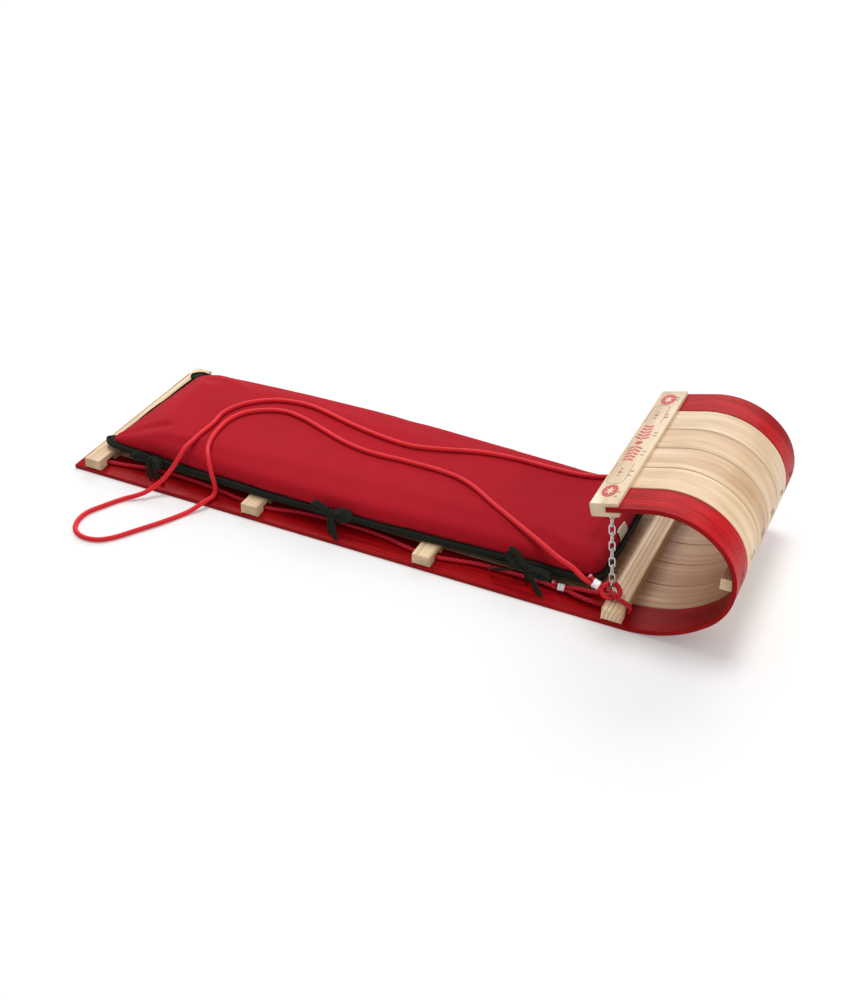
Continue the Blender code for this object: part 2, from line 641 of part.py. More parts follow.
def make_tie(name, x, side):
    """A tape sewn to the cushion's edge, passed round the grab rope and tied in a bow."""
    rope_y, rope_z = grab_rope_at(x)
    rope_y = abs(rope_y)
    edge = cushion_half(x) + 2 * BINDING_RADIUS + GAP
    knot = Vector((x, side * (edge + 0.0062), CUSHION_SEAM + 0.0035))

    def at(dx, out, z):
        return Vector((x + dx, side * out, z))

    bm = bmesh.new()
    bmesh.ops.create_icosphere(bm, subdivisions=1, radius=1.0,
                               matrix=Matrix.LocRotScale(knot, None, Vector(KNOT_HALVES)))
    tie = new_object(name, bm, "tape")

    def join(label, paths, wide, across, closed):
        bm = bmesh.new()
        for path in paths:
            sweep(bm, path, flat_section(wide, TIE_THICK), across=across, closed=closed)
        combine(tie, guide(f"{name}_{label}", bm), "UNION")

    radius = GRAB_ROPE / 2 + TIE_THICK / 2 + 0.0011
    out = knot.y * side
    band = []
    for k in range(5):
        angle = radians(180 + 45 * k)
        band.append(at(0, rope_y + radius * cos(angle), rope_z + radius * sin(angle)))
    band += [at(0, max(edge - 0.0005, rope_y + radius), 0.0245), at(0, out + 0.0010, knot.z - 0.0055),
             at(0, out + 0.0006, knot.z - 0.0010), at(0, out - 0.0016, knot.z - 0.0010),
             at(0, out - 0.0024, knot.z - 0.0055), at(0, edge - 0.0045, 0.0252),
             at(0, rope_y + 0.0015, rope_z + 0.0072), at(0, rope_y - 0.0034, rope_z + 0.0050)]
    join("band", [band], TIE_WIDE * 0.7, (1, 0, 0), True)
    loop = [(0.0030, 0.0018), (0.0170, 0.0085), (0.0275, 0.0045), (0.0170, -0.0018), (0.0030, -0.0012)]
    tail = [(0.0034, 0.0020, -0.0013), (0.0080, 0.0090, -0.0175), (0.0130, 0.0145, -0.0325)]
    loops = [[at(way * a, out + a * 0.05, knot.z + b) for a, b in loop] for way in (-1, 1)]
    tails = [[at(way * a, out + b, knot.z + c) for a, b, c in tail] for way in (-1, 1)]
    join("loops", loops, TIE_WIDE * 0.8, (0, 1, 0), True)
    join("tails", tails, TIE_WIDE * 0.7, (1, 0, 0), False)


def make_cushion_trim():
    bm = bmesh.new()
    outset = BINDING_RADIUS + GAP
    sweep(bm, cushion_ring(-outset, CUSHION_SEAM), round_section(BINDING_RADIUS, 6), closed=True)
    new_object("cushion_binding", bm, "tape")
    for label, x in zip(("rear", "middle", "front"), TIE_PLACES):
        for side, suffix in ((-1, "right"), (1, "left")):
            make_tie(f"tie_{label}_{suffix}", x, side)
    bm = bmesh.new()
    front = CUSHION_FRONT + 0.0008
    path = [(front - 0.0010, 0.0, CUSHION_SEAM + 0.0065), (front - 0.0012, 0.0, CUSHION_SEAM + 0.0140),
            (front - 0.0062, 0.0, CUSHION_SEAM + 0.0262), (front - 0.0155, 0.0, CUSHION_SEAM + 0.0335),
            (front - 0.0190, 0.0, CUSHION_SEAM + 0.0347)]
    path = [Vector(p) + Vector((0.0012, -0.006, 0.0004)) for p in path]
    sweep(bm, path, flat_section(0.046, 0.0005), across=(0, 1, 0))
    new_object("care_label", bm, "label_cloth")


# ---- assembly -----------------------------------------------------------------------------
def main():
    for old in list(bpy.data.objects):
        bpy.data.objects.remove(old)
    make_slats()
    base_bars = make_crossbars()
    make_nose_crossbar()
    board = make_headboard()
    for side, suffix in ((-1, "right"), (1, "left")):
        eye_holes = make_chain(side, suffix)
        combine(board, eye_holes, "DIFFERENCE")
        combine(base_bars[-1], eye_holes, "DIFFERENCE")
    make_cushion()
    make_cushion_trim()
    make_pull_rope()
    make_grab_rope()


main()
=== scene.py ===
from math import acos, atan2, ceil, cos, exp, pi, radians, sin

import bmesh
import bpy
from mathutils import Matrix, Vector, noise
from mathutils.bvhtree import BVHTree


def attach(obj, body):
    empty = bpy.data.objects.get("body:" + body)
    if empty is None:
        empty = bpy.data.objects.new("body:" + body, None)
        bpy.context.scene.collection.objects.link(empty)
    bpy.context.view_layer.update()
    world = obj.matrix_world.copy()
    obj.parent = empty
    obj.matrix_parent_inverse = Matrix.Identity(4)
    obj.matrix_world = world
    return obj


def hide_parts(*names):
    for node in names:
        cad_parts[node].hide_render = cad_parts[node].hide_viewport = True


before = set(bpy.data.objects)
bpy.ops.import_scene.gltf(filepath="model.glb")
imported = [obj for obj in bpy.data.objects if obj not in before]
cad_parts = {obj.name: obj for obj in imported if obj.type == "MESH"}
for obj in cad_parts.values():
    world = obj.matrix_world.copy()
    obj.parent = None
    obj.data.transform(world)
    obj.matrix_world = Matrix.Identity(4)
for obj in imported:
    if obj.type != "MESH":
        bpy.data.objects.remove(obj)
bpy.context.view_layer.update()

BODY = "root"

# ---- the toboggan's own sizes, in metres ----------------------------------------------------
LENGTH = 1.2192
WIDTH = 0.381
SLATS = 6
SLAT_THICK = 0.008
SLAT_GAP = 0.0006
SLAT_EDGE = 0.0013          # radius of its long edges
SLAT_WIDE = (WIDTH - (SLATS - 1) * SLAT_GAP) / SLATS
GAP = 0.0003
TAIL_BEVEL = 0.0009
TAIL = -LENGTH / 2
CURL_START = 0.4419
CURL_ARCS = ((0.1957, 44.0), (0.1042, 90.5), (0.1258, 59.9))
CURL_END_RUN = 0.0652
NOSE_RADIUS = CURL_ARCS[1][0]

CROSSBAR_HALF = WIDTH / 2 - 0.0032
NOTCH_OUTER = 0.167
NOTCH_WIDE = 0.025
NOTCH_HIGH = 0.0105
BAR_ROUND = 0.0024          # rounding of the long upper edges
BAR_EASE = 0.0007           # easing of the other edges
CROSSBARS = {               # rear face's X, width, height
    "tail_crossbar": (TAIL + 0.0235, 0.032, 0.019),
    "rear_crossbar": (TAIL + 0.3537, 0.032, 0.019),
    "middle_crossbar": (TAIL + 0.6839, 0.032, 0.019),
    "front_crossbar": (0.4064, 0.0336, 0.021),
}
NOSE_CENTRE = (0.5054, 0.1299)
NOSE_BAR_REAR = 0.5835
NOSE_BAR_LOW = 0.130
NOSE_BAR_TOP = 0.149

BOARD_CENTRE = Vector((0.3936, 0, 0.2143))
BOARD_TILT = radians(14.4)
BOARD_ALONG = Vector((cos(BOARD_TILT), 0, sin(BOARD_TILT)))
BOARD_NORMAL = Vector((-sin(BOARD_TILT), 0, cos(BOARD_TILT)))
BOARD_WIDE = 0.0456
BOARD_THICK = 0.0238
BOARD_SLOT_DEEP = 0.020
BOARD_SLAT_TOP = 0.0054
INK_THICK = 0.00006

CHAIN_Y = 0.148
CHAIN_LINKS = 10
CHAIN_WIRE = 0.0025
CHAIN_LINK_WIDE = 0.0117
CHAIN_CLEAR = 0.0005
CHAIN_TOP_X = 0.3940
CHAIN_FOOT_X = 0.4103
EYE_WIRE = 0.0024
EYE_RADIUS = 0.0050
EYE_SHANK = 0.0060          # how far its screw is drawn into the wood

CUSHION_REAR = -0.5700
CUSHION_FRONT = 0.3850
CUSHION_LOW = 0.0277
CUSHION_SEAM = 0.0400
CUSHION_TOP = 0.0747
CORNER_Y = 0.130
TIE_PLACES = (-0.464, -0.0854, 0.2659)
CLOTH_FRAMES = 20
CLOTH_REACH = 0.0042        # how far the filling may push the cover out
TAPE_LOW = 0.0098           # lowest place of a tape over the slats

PULL_ROPE = 0.0085
GRAB_ROPE = 0.0072
PULL_LENGTH = 2.848
GRAB_LENGTH = 2.723
FERRULE_LONG = 0.0115
FERRULE_WALL = 0.0007
FERRULE_CLEAR = 0.0008
CUT_END = 0.0165
SWELL_RUN = 0.010
SQUEEZE = 0.72              # thickness of a rope inside its ferrule, as a share
ROPE_PRESS = 0.0004         # how far a rope sinks into the cushion


def put_in_scene(name, data):
    made = bpy.data.objects.new(name, data)
    bpy.context.scene.collection.objects.link(made)
    return made


# ---- camera -----------------------------------------------------------------------------------
def make_camera():
    azimuth, elevation, roll = radians(24.1845), radians(34.6023), radians(1.166)
    back = Vector((sin(azimuth) * cos(elevation), -cos(azimuth) * cos(elevation), sin(elevation)))
    right = (-back).cross(Vector((0, 0, 1))).normalized()
    up = back.cross(right)
    across = right * cos(roll) + up * sin(roll)
    upward = up * cos(roll) - right * sin(roll)
    data = bpy.data.cameras.new("camera")
    data.lens = 49.98
    data.sensor_width = 36.0
    data.clip_end = 100.0
    camera = put_in_scene("camera", data)
    turn = Matrix((across, upward, back)).transposed()
    camera.matrix_world = Matrix.Translation((0.862, -1.8588, 1.4109)) @ turn.to_4x4()
    bpy.context.scene.camera = camera


# ---- node materials -----------------------------------------------------------------------------
def shade(colour, share):
    """The colour made darker, or lighter with a share above one."""
    return tuple(c * share for c in colour)


class Paint:
    """One node material around a Principled shader."""

    def __init__(self, name, **sockets):
        self.material = bpy.data.materials.new(name)
        self.material.use_nodes = True
        self.tree = self.material.node_tree
        self.sockets = self.tree.nodes["Principled BSDF"].inputs
        for key, value in sockets.items():
            self.put(self.sockets[key.replace("_", " ")], value)

    def put(self, socket, value):
        if isinstance(value, bpy.types.NodeSocket):
            self.tree.links.new(value, socket)
        else:
            socket.default_value = (*value, 1.0) if socket.type == "RGBA" else value

    def node(self, kind, inputs, output=0, **settings):
        made = self.tree.nodes.new("ShaderNode" + kind)
        for key, value in settings.items():
            setattr(made, key, value)
        for key, value in inputs.items():
            self.put(made.inputs[key], value)
        return made.outputs[output]

    def math(self, operation, *values):
        return self.node("Math", dict(enumerate(values)), operation=operation)

    def vector(self, operation, *values, output=0):
        return self.node("VectorMath", dict(enumerate(values)), output, operation=operation)

    def attribute(self, name, output="Vector"):
        return self.node("Attribute", {}, output, attribute_name=name)

    def place(self):
        return self.node("TexCoord", {}, "Object")

    def axes(self, vector):
        return self.node("SeparateXYZ", {0: vector}).node.outputs

    def noise(self, place, scale, detail=2.0, roughness=0.5):
        return self.node("TexNoise", {"Vector": place, "Scale": scale, "Detail": detail,
                                      "Roughness": roughness})

    def stretched(self, place, scales, detail=2.0, roughness=0.5):
        """Noise with a scale of its own on each axis."""
        return self.noise(self.vector("MULTIPLY", place, scales), 1.0, detail, roughness)

    def wave(self, value, length):
        return self.math("SINE", self.math("MULTIPLY", value, 2 * pi / length))

    def spread(self, value, low, high, to_low=0.0, to_high=1.0):
        return self.node("MapRange", {0: value, 1: low, 2: high, 3: to_low, 4: to_high})

    def ramp(self, value, *stops):
        made = self.tree.nodes.new("ShaderNodeValToRGB")
        self.put(made.inputs[0], value)
        elements = made.color_ramp.elements
        while len(elements) < len(stops):
            elements.new(0.5)
        for element, (place, colour) in zip(elements, stops):
            element.position = place
            element.color = (*colour, 1.0)
        return made.outputs[0]

    def mix(self, share, first, second):
        return self.node("Mix", {0: share, 6: first, 7: second}, 2, data_type="RGBA")

    def bump(self, height, distance, strength=1.0, **normal):
        return self.node("Bump", {"Height": height, "Distance": distance, "Strength": strength, **normal})

    def finish(self, body, grit, rough, height=None, relief=0.0, **normal):
        """Links colour, roughness and relief to the shader."""
        self.put(self.sockets["Base Color"], body)
        self.put(self.sockets["Roughness"], self.spread(grit, 0.3, 0.7, *rough))
        if height:
            self.put(self.sockets["Normal"], self.bump(height, relief, **normal))
        return self.material


def wood(name, dark, middle, light, *, pith, ring, wander, line, relief, roughness, coat, streak,
         gloss=0.40, seed=0.0, inner=None, lines=80.0, depth=0.74):
    """Solid wood from the grain attribute: along the grain, across it, and through the piece.

    The inner tone is painted shade: a darker tone on a slat's inside face, with its own lines.
    """
    paint = Paint(name, Coat_Weight=coat, Coat_Roughness=0.14, Specular_IOR_Level=gloss)
    grain = paint.vector("ADD", paint.attribute("grain"), (seed, 0.0, 0.0))
    broad = paint.stretched(grain, (4.0, 34.0, 34.0), 3.0, 0.55)
    bend = paint.stretched(grain, (1.6, 9.0, 9.0))
    fibre = paint.stretched(grain, (16.0, 700.0, 700.0), 2.0, 0.6)
    pores = paint.spread(paint.stretched(grain, (60.0, 2600.0, 2600.0)), 0.60, 0.72)
    flat = paint.vector("MULTIPLY", paint.vector("SUBTRACT", grain, (0.0, *pith)), (0.0, 1.0, 1.0))
    reach = paint.vector("LENGTH", flat, output="Value")
    bent = paint.math("MULTIPLY", bend, 2 * pi * wander)
    phase = paint.math("MULTIPLY_ADD", reach, 2 * pi / ring, bent)
    rings = paint.spread(paint.math("SINE", phase), 0.25, 1.0)
    body = paint.ramp(broad, (0.30, dark), (0.50, middle), (0.68, light))
    for share, tone in ((paint.math("MULTIPLY", rings, line), 0.62),
                        (paint.spread(fibre, 0.3, 0.7, streak, 0.0), 0.55),
                        (paint.math("MULTIPLY", pores, 0.18), 0.4)):
        body = paint.mix(share, body, shade(dark, tone))
    if inner:
        # painted shade: the slat's inside face takes the darker inner tone, blotched and lined
        deep = paint.spread(paint.axes(grain)[2], SLAT_THICK * 0.90, SLAT_THICK * 0.99)
        tan = paint.ramp(paint.stretched(grain, (4.0, lines, 0.0), 3.0, 0.55),
                         (0.34, shade(inner, depth)), (0.50, inner), (0.72, middle))
        blotch = paint.stretched(grain, (7.0, 30.0, 0.0), 3.0, 0.6)
        tan = paint.mix(paint.spread(blotch, 0.40, 0.62, 0.65, 0.0), tan, shade(inner, 0.86))
        body = paint.mix(paint.math("MULTIPLY", deep, 0.80), body, tan)
        # painted shade along the slats' rounded long edges, where the gaps between slats lie in shade
        edge = paint.math("MULTIPLY", paint.attribute("edge", "Fac"), 0.40)
        body = paint.mix(edge, body, shade(dark, 0.60))
    height = paint.math("SUBTRACT", paint.math("MULTIPLY", fibre, 0.6), paint.math("MULTIPLY", rings, 0.7))
    return paint.finish(body, fibre, roughness[::-1], height, relief)


def canvas(name, colour, deep, thread=0.0011, relief=0.00010, sheen=0.02):
    """Plain-woven cloth whose threads run along X and across it."""
    paint = Paint(name, Sheen_Weight=sheen, Sheen_Roughness=0.45, Specular_IOR_Level=0.10)
    place = paint.place()
    x, y, z = paint.axes(place)
    over = paint.wave(paint.math("ADD", x, paint.math("MULTIPLY", z, 0.35)), thread)
    under = paint.wave(paint.math("ADD", y, z), thread)
    weave = paint.math("MULTIPLY", over, under)
    slub = paint.stretched(place, (30.0, 900.0, 900.0))
    cloud = paint.noise(place, 9.0, 3.0)
    dust = paint.noise(place, 420.0)
    body = paint.mix(paint.spread(cloud, 0.3, 0.7), colour, shade(colour, 0.90))
    body = paint.mix(paint.spread(weave, -1.0, 0.4, 0.22, 0.0), body, deep)
    body = paint.mix(paint.spread(slub, 0.35, 0.7, 0.14, 0.0), body, deep)
    height = paint.math("ADD", paint.math("MULTIPLY", weave, 0.5), paint.math("MULTIPLY", slub, 0.5))
    return paint.finish(body, dust, (0.92, 0.82), height, relief, Normal=paint.bump(cloud, 0.0030, 0.25))


def tape_cloth(name, colour, deep):
    """Ribbed tape: fine ribs across its length, from the strip attribute."""
    paint = Paint(name, Sheen_Weight=0.03, Sheen_Roughness=0.4, Specular_IOR_Level=0.12)
    along, across, _ = paint.axes(paint.attribute("strip"))
    ribs, edge = paint.wave(along, 0.0009), paint.wave(across, 0.0014)
    fuzz = paint.noise(paint.place(), 700.0)
    body = paint.mix(paint.spread(ribs, -1.0, 0.6, 0.5, 0.0), colour, deep)
    body = paint.mix(paint.spread(fuzz, 0.35, 0.75, 0.0, 0.35), body, shade(colour, 1.9))
    height = paint.math("ADD", ribs, paint.math("MULTIPLY", edge, 0.4))
    return paint.finish(body, fuzz, (0.92, 0.74), height, 0.00012)


def braid(name, colour, deep, pale, roughness, gloss, sharp=(0.0, 1.0)):
    """Braided cord: painted shade darkens the creases between strands, and it is pale where its core is cut.
    """
    paint = Paint(name, Specular_IOR_Level=gloss)
    fuzz = paint.noise(paint.place(), 1500.0, 2.0, 0.6)
    drift = paint.noise(paint.place(), 22.0)
    body = paint.mix(paint.spread(drift, 0.3, 0.7), colour, shade(colour, 0.86))
    # painted shade in the braid's creases, from the crease attribute
    body = paint.mix(paint.spread(paint.attribute("crease", "Fac"), *sharp, 0.0, 0.85), body, deep)
    body = paint.mix(paint.spread(fuzz, 0.45, 0.75, 0.0, 0.22), body, shade(colour, 1.5))
    body = paint.mix(paint.attribute("tip", "Fac"), body, pale)
    return paint.finish(body, fuzz, (roughness - 0.08, roughness + 0.08), fuzz, 0.00010)


def metal(name, colour, roughness, grit, scratch=0.00002):
    """Plated or bare metal with faint blotches."""
    paint = Paint(name, Metallic=1.0)
    blotch = paint.noise(paint.place(), 260.0, 3.0, 0.6)
    fine = paint.noise(paint.place(), 2400.0)
    body = paint.mix(paint.spread(blotch, 0.35, 0.75, 0.0, 0.5), colour, shade(colour, 0.62))
    return paint.finish(body, blotch, (roughness, roughness + grit), fine, scratch)


def ink(name, colour, fade):
    """Printed ink, a little thin where the wood's pores take it up."""
    paint = Paint(name, Specular_IOR_Level=0.4, Coat_Weight=0.2, Coat_Roughness=0.2)
    thin = paint.stretched(paint.place(), (900.0, 60.0, 900.0), 3.0)
    body = paint.mix(paint.spread(thin, 0.45, 0.80, 0.0, fade), colour, (0.72, 0.52, 0.34))
    return paint.finish(body, paint.noise(paint.place(), 800.0), (0.42, 0.55))


# ---- number helpers -----------------------------------------------------------------------------
def clamp(value):
    return min(1.0, max(0.0, value))


def bell(value):
    return exp(-value ** 2)


def eased(share):
    return share * share * (3 - 2 * share)


def circle(count, start=0.0):
    """Cosine and sine at even steps round a full turn."""
    return [(cos(start + 2 * pi * k / count), sin(start + 2 * pi * k / count)) for k in range(count)]


# ---- mesh helpers -------------------------------------------------------------------------------
def new_piece(name, mesh, material, replaces=(), angle=40.0):
    mesh.shade_smooth()
    mesh.set_sharp_from_angle(angle=radians(angle))
    mesh.materials.append(material)
    made = put_in_scene(name, mesh)
    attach(made, BODY)
    if replaces:
        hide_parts(*replaces)
    return made


def finish_mesh(name, bm, attributes=None):
    """Writes a bmesh out, with vectors or numbers for each vertex, in the order they were made."""
    bmesh.ops.recalc_face_normals(bm, faces=bm.faces)
    mesh = bpy.data.meshes.new(name)
    bm.to_mesh(mesh)
    bm.free()
    for key, values in (attributes or {}).items():
        if isinstance(values[0], float):
            mesh.attributes.new(key, "FLOAT", "POINT").data.foreach_set("value", values)
        else:
            layer = mesh.attributes.new(key, "FLOAT_VECTOR", "POINT")
            layer.data.foreach_set("vector", [c for v in values for c in v])
    return mesh


def bridge_rings(bm, rings, closed=False):
    """Joins each ring of vertices to the next, and caps the ends unless the rings close."""
    count = len(rings[0])
    pairs = list(zip(rings, rings[1:]))
    if closed:
        pairs.append((rings[-1], rings[0]))
    for low, high in pairs:
        for i in range(count):
            j = (i + 1) % count
            bm.faces.new((low[i], low[j], high[j], high[i]))
    if not closed:
        bm.faces.new(rings[0])
        bm.faces.new(list(reversed(rings[-1])))


def split_faces(bm):
    """Cuts the faces with more than four corners into triangles."""
    bm.normal_update()
    bmesh.ops.triangulate(bm, faces=[f for f in bm.faces if len(f.verts) > 4], ngon_method="EAR_CLIP")


def rounded_outline(corners, radius, steps=3):
    """A closed outline with each corner turned on the radius, which may differ from corner to corner."""
    found = []
    count = len(corners)
    for i, corner in enumerate(corners):
        here = Vector(corner[:2])
        turn = corner[2] if len(corner) > 2 else radius
        before = (Vector(corners[i - 1][:2]) - here).normalized()
        after = (Vector(corners[(i + 1) % count][:2]) - here).normalized()
        half = acos(max(-1.0, min(1.0, before.dot(after)))) / 2
        if half > radians(85) or not turn:
            found.append(here)
            continue
        run = turn / (sin(half) / cos(half))
        centre = here + (before + after).normalized() * (turn / sin(half))
        start = here + before * run - centre
        sweep_angle = pi - 2 * half
        way = -1.0 if before.x * after.y - before.y * after.x > 0 else 1.0
        for k in range(steps + 1):
            angle = way * sweep_angle * k / steps
            found.append(centre + Vector((start.x * cos(angle) - start.y * sin(angle),
                                          start.x * sin(angle) + start.y * cos(angle))))
    return found


def smooth_route(points, steps):
    """Points along a centripetal Catmull-Rom curve through the route, some for each stretch."""
    route = [Vector(p) for p in points]
    route = [2 * route[0] - route[1]] + route + [2 * route[-1] - route[-2]]
    found = []
    for i in range(1, len(route) - 2):
        p0, p1, p2, p3 = route[i - 1:i + 3]
        t1 = (p1 - p0).length ** 0.5
        t2 = t1 + (p2 - p1).length ** 0.5
        t3 = t2 + (p3 - p2).length ** 0.5
        for k in range(steps):
            t = t1 + (t2 - t1) * k / steps
            a1 = p0 * ((t1 - t) / t1) + p1 * (t / t1)
            a2 = p1 * ((t2 - t) / (t2 - t1)) + p2 * ((t - t1) / (t2 - t1))
            a3 = p2 * ((t3 - t) / (t3 - t2)) + p3 * ((t - t2) / (t3 - t2))
            b1 = a1 * ((t2 - t) / t2) + a2 * (t / t2)
            b2 = a2 * ((t3 - t) / (t3 - t1)) + a3 * ((t - t1) / (t3 - t1))
            found.append(b1 * ((t2 - t) / (t2 - t1)) + b2 * ((t - t1) / (t2 - t1)))
    found.append(route[-2])
    return found


def even_steps(points, step):
    """The same line with points a fixed distance apart."""
    found = [points[0]]
    left = step
    for a, b in zip(points, points[1:]):
        run = (b - a).length
        gone = 0.0
        while run - gone > left:
            gone += left
            found.append(a.lerp(b, gone / run))
            left = step
        left -= run - gone
    if (found[-1] - points[-1]).length > step * 0.3:
        found.append(points[-1])
    else:
        found[-1] = points[-1]
    return found


def carried_frames(points, closed=False):
    """Direction and two normals at each point, turned no more than the line turns."""
    count = len(points)
    frames = []
    side = None
    for i in range(count):
        before = points[i - 1] if closed or i else points[0]
        after = points[(i + 1) % count] if closed or i + 1 < count else points[-1]
        along = (after - before).normalized()
        if side is None:
            side = along.orthogonal()
        side = (side - along * side.dot(along)).normalized()
        frames.append((along, side, along.cross(side)))
    return frames


def wire_piece(name, points, radius, material, closed=False):
    """A round bent wire as a metal piece of its own."""
    bm = bmesh.new()
    rings = [[bm.verts.new(point + (first * c + second * s) * radius) for c, s in circle(10)]
             for point, (_, first, second) in zip(points, carried_frames(points, closed))]
    bridge_rings(bm, rings, closed)
    new_piece("seen_" + name, finish_mesh(name, bm), material, [name], 60)


def swept(outline, stations, place):
    """A solid between copies of an outline, put in place at each station."""
    bm = bmesh.new()
    bridge_rings(bm, [[bm.verts.new(place(station, a, b)) for a, b in outline] for station in stations])
    return bm


# ---- slats --------------------------------------------------------------------------------------
def curl_stations():
    """Distance along the slat, X and Z of its outer surface, and its heading there."""
    flat = 26
    stations = [((CURL_START - TAIL) * k / flat, TAIL + (CURL_START - TAIL) * k / flat, 0.0, 0.0)
                for k in range(flat + 1)]
    gone, x, z, heading = stations[-1]
    for radius, turned in CURL_ARCS:
        facets = ceil(turned / 2.6)
        centre_x, centre_z = x - radius * sin(heading), z + radius * cos(heading)
        for k in range(1, facets + 1):
            angle = heading + radians(turned) * k / facets
            run = gone + radius * radians(turned) * k / facets
            stations.append((run, centre_x + radius * sin(angle), centre_z - radius * cos(angle), angle))
        gone, x, z, heading = stations[-1]
    stations.append((gone + CURL_END_RUN, x + CURL_END_RUN * cos(heading),
                     z + CURL_END_RUN * sin(heading), heading))
    return stations


def slat_centres():
    return [(SLAT_WIDE + SLAT_GAP) * (i - (SLATS - 1) / 2) for i in range(SLATS)]


def make_slat(name, centre, material, seed):
    half = SLAT_WIDE / 2
    corners = [Vector(c) for c in ((-half, 0), (half, 0), (half, SLAT_THICK), (-half, SLAT_THICK))]
    outline = rounded_outline(section_points(corners), SLAT_EDGE)
    stations = [(run, TAIL + run, 0.0, 0.0, inset) for run, inset in ((0.0, TAIL_BEVEL), (TAIL_BEVEL, 0.0))]
    stations += [(*station, 0.0) for station in curl_stations()[1:]]
    bm = bmesh.new()
    rings, grain, edge = [], [], []
    for run, x, z, heading, inset in stations:
        ring = []
        for y, d in outline:
            y = max(-half + inset, min(half - inset, y))
            d = max(inset, min(SLAT_THICK - inset, d))
            ring.append(bm.verts.new((x - sin(heading) * d, centre + y, z + cos(heading) * d)))
            grain.append((run, y + seed, d))
            # edge marks the rounded long edges, where the wood material paints shade in the gaps between
            # slats
            edge.append(clamp((abs(y) - half + 0.0016) / 0.0010))
        rings.append(ring)
    bridge_rings(bm, rings)
    mesh = finish_mesh(name, bm, {"grain": grain, "edge": edge})
    new_piece("seen_" + name, mesh, material, [name], 50)


def section_points(corners):
    """The corners with points between them on the two wide sides."""
    found = []
    for i, corner in enumerate(corners):
        found.append(corner)
        after = corners[(i + 1) % len(corners)]
        if abs(after.x - corner.x) > 0.01:
            found += [corner.lerp(after, k) for k in (0.05, 0.30, 0.70, 0.95)]
    return found


def make_slats():
    # the inner tones given to the slat woods below are painted shade on the slats' inside faces
    red = wood("red_varnish", (0.22, 0.002, 0.004), (0.42, 0.005, 0.008), (0.56, 0.010, 0.012),
               pith=(0.0, -0.030), ring=0.0042, wander=3.4, line=0.27, relief=0.00030,
               roughness=(0.30, 0.46), coat=0.0, streak=0.48, gloss=0.07,
               inner=(0.26, 0.001, 0.003), lines=330.0, depth=0.45)
    tones = {                   # dark, middle and light tone, depth of the pith, seed
        "slat_2": ((0.49, 0.325, 0.185), (0.62, 0.45, 0.285), (0.68, 0.515, 0.345), -0.030, 1.9),
        "slat_3": ((0.39, 0.225, 0.115), (0.54, 0.365, 0.22), (0.66, 0.495, 0.335), -0.050, 4.3),
        "slat_4": ((0.40, 0.24, 0.125), (0.56, 0.39, 0.24), (0.67, 0.515, 0.35), -0.040, 7.7),
        "slat_5": ((0.47, 0.32, 0.185), (0.60, 0.44, 0.29), (0.67, 0.52, 0.365), -0.034, 11.2),
    }
    for i, (name, centre) in enumerate(zip(("slat_right_outer", *tones, "slat_left_outer"), slat_centres())):
        if name in tones:
            dark, middle, light, deep, seed = tones[name]
            material = wood("varnished_" + name, dark, middle, light, pith=(0.14 * i + 0.006, deep),
                            ring=0.0085, wander=2.2, line=0.10, relief=0.00010, coat=0.10, gloss=0.25,
                            roughness=(0.34, 0.46), streak=0.10, seed=seed, inner=(0.41, 0.195, 0.085))
            make_slat(name, centre, material, 0.14 * i)
        else:
            make_slat(name, centre, red, 0.07 if i else -0.012)


# ---- crossbars and headboard --------------------------------------------------------------------
NEAR = 0.0001               # how far from a face an edge may lie and still be on it


def bevelled(bm, wide, steps, keep):
    edges = [e for e in bm.edges if e.calc_face_angle(0.0) > radians(30) and keep(e)]
    bmesh.ops.bevel(bm, geom=edges, offset=wide, offset_type="OFFSET", segments=steps, profile=0.5,
                    affect="EDGES", clamp_overlap=True)


def all_ends(edge, test):
    return all(test(v.co) for v in edge.verts)


def bar_piece(name, bm, material, centre, up=(0, 0, 1), seed=0.0):
    """A wooden piece whose grain runs along Y and is counted from its centre."""
    along, up = Vector((0, 1, 0)), Vector(up)
    across = along.cross(up)
    split_faces(bm)
    grain = []
    for v in bm.verts:
        p = v.co - centre
        grain.append((p.dot(along) + seed, p.dot(across), p.dot(up)))
    new_piece("seen_" + name, finish_mesh(name, bm, {"grain": grain}), material, [name], 32)


def make_crossbars(plain, front):
    low = SLAT_THICK + GAP
    inner, roof = NOTCH_OUTER - NOTCH_WIDE, low + NOTCH_HIGH
    for number, (name, (rear, wide, high)) in enumerate(CROSSBARS.items()):
        left = [(inner, low), (inner, roof), (NOTCH_OUTER, roof), (NOTCH_OUTER, low),
                (CROSSBAR_HALF, low), (CROSSBAR_HALF, low + high)]
        outline = left + [(-y, z) for y, z in reversed(left)]
        bm = swept(outline, (rear, rear + wide), lambda x, y, z: (x, y, z))
        bevelled(bm, BAR_ROUND, 4, lambda e: all_ends(e, lambda p: p.z > low + high - NEAR))
        bevelled(bm, BAR_EASE, 2, lambda e: all_ends(e, lambda p: abs(p.y) > CROSSBAR_HALF - NEAR)
                 or all_ends(e, lambda p: p.z < low + NEAR))
        # the front crossbar gets the lighter wood, which is painted light
        bar_piece(name, bm, front if name == "front_crossbar" else plain,
                  Vector((rear + wide / 2, 0.0, low + high / 2)), seed=1.7 * number)


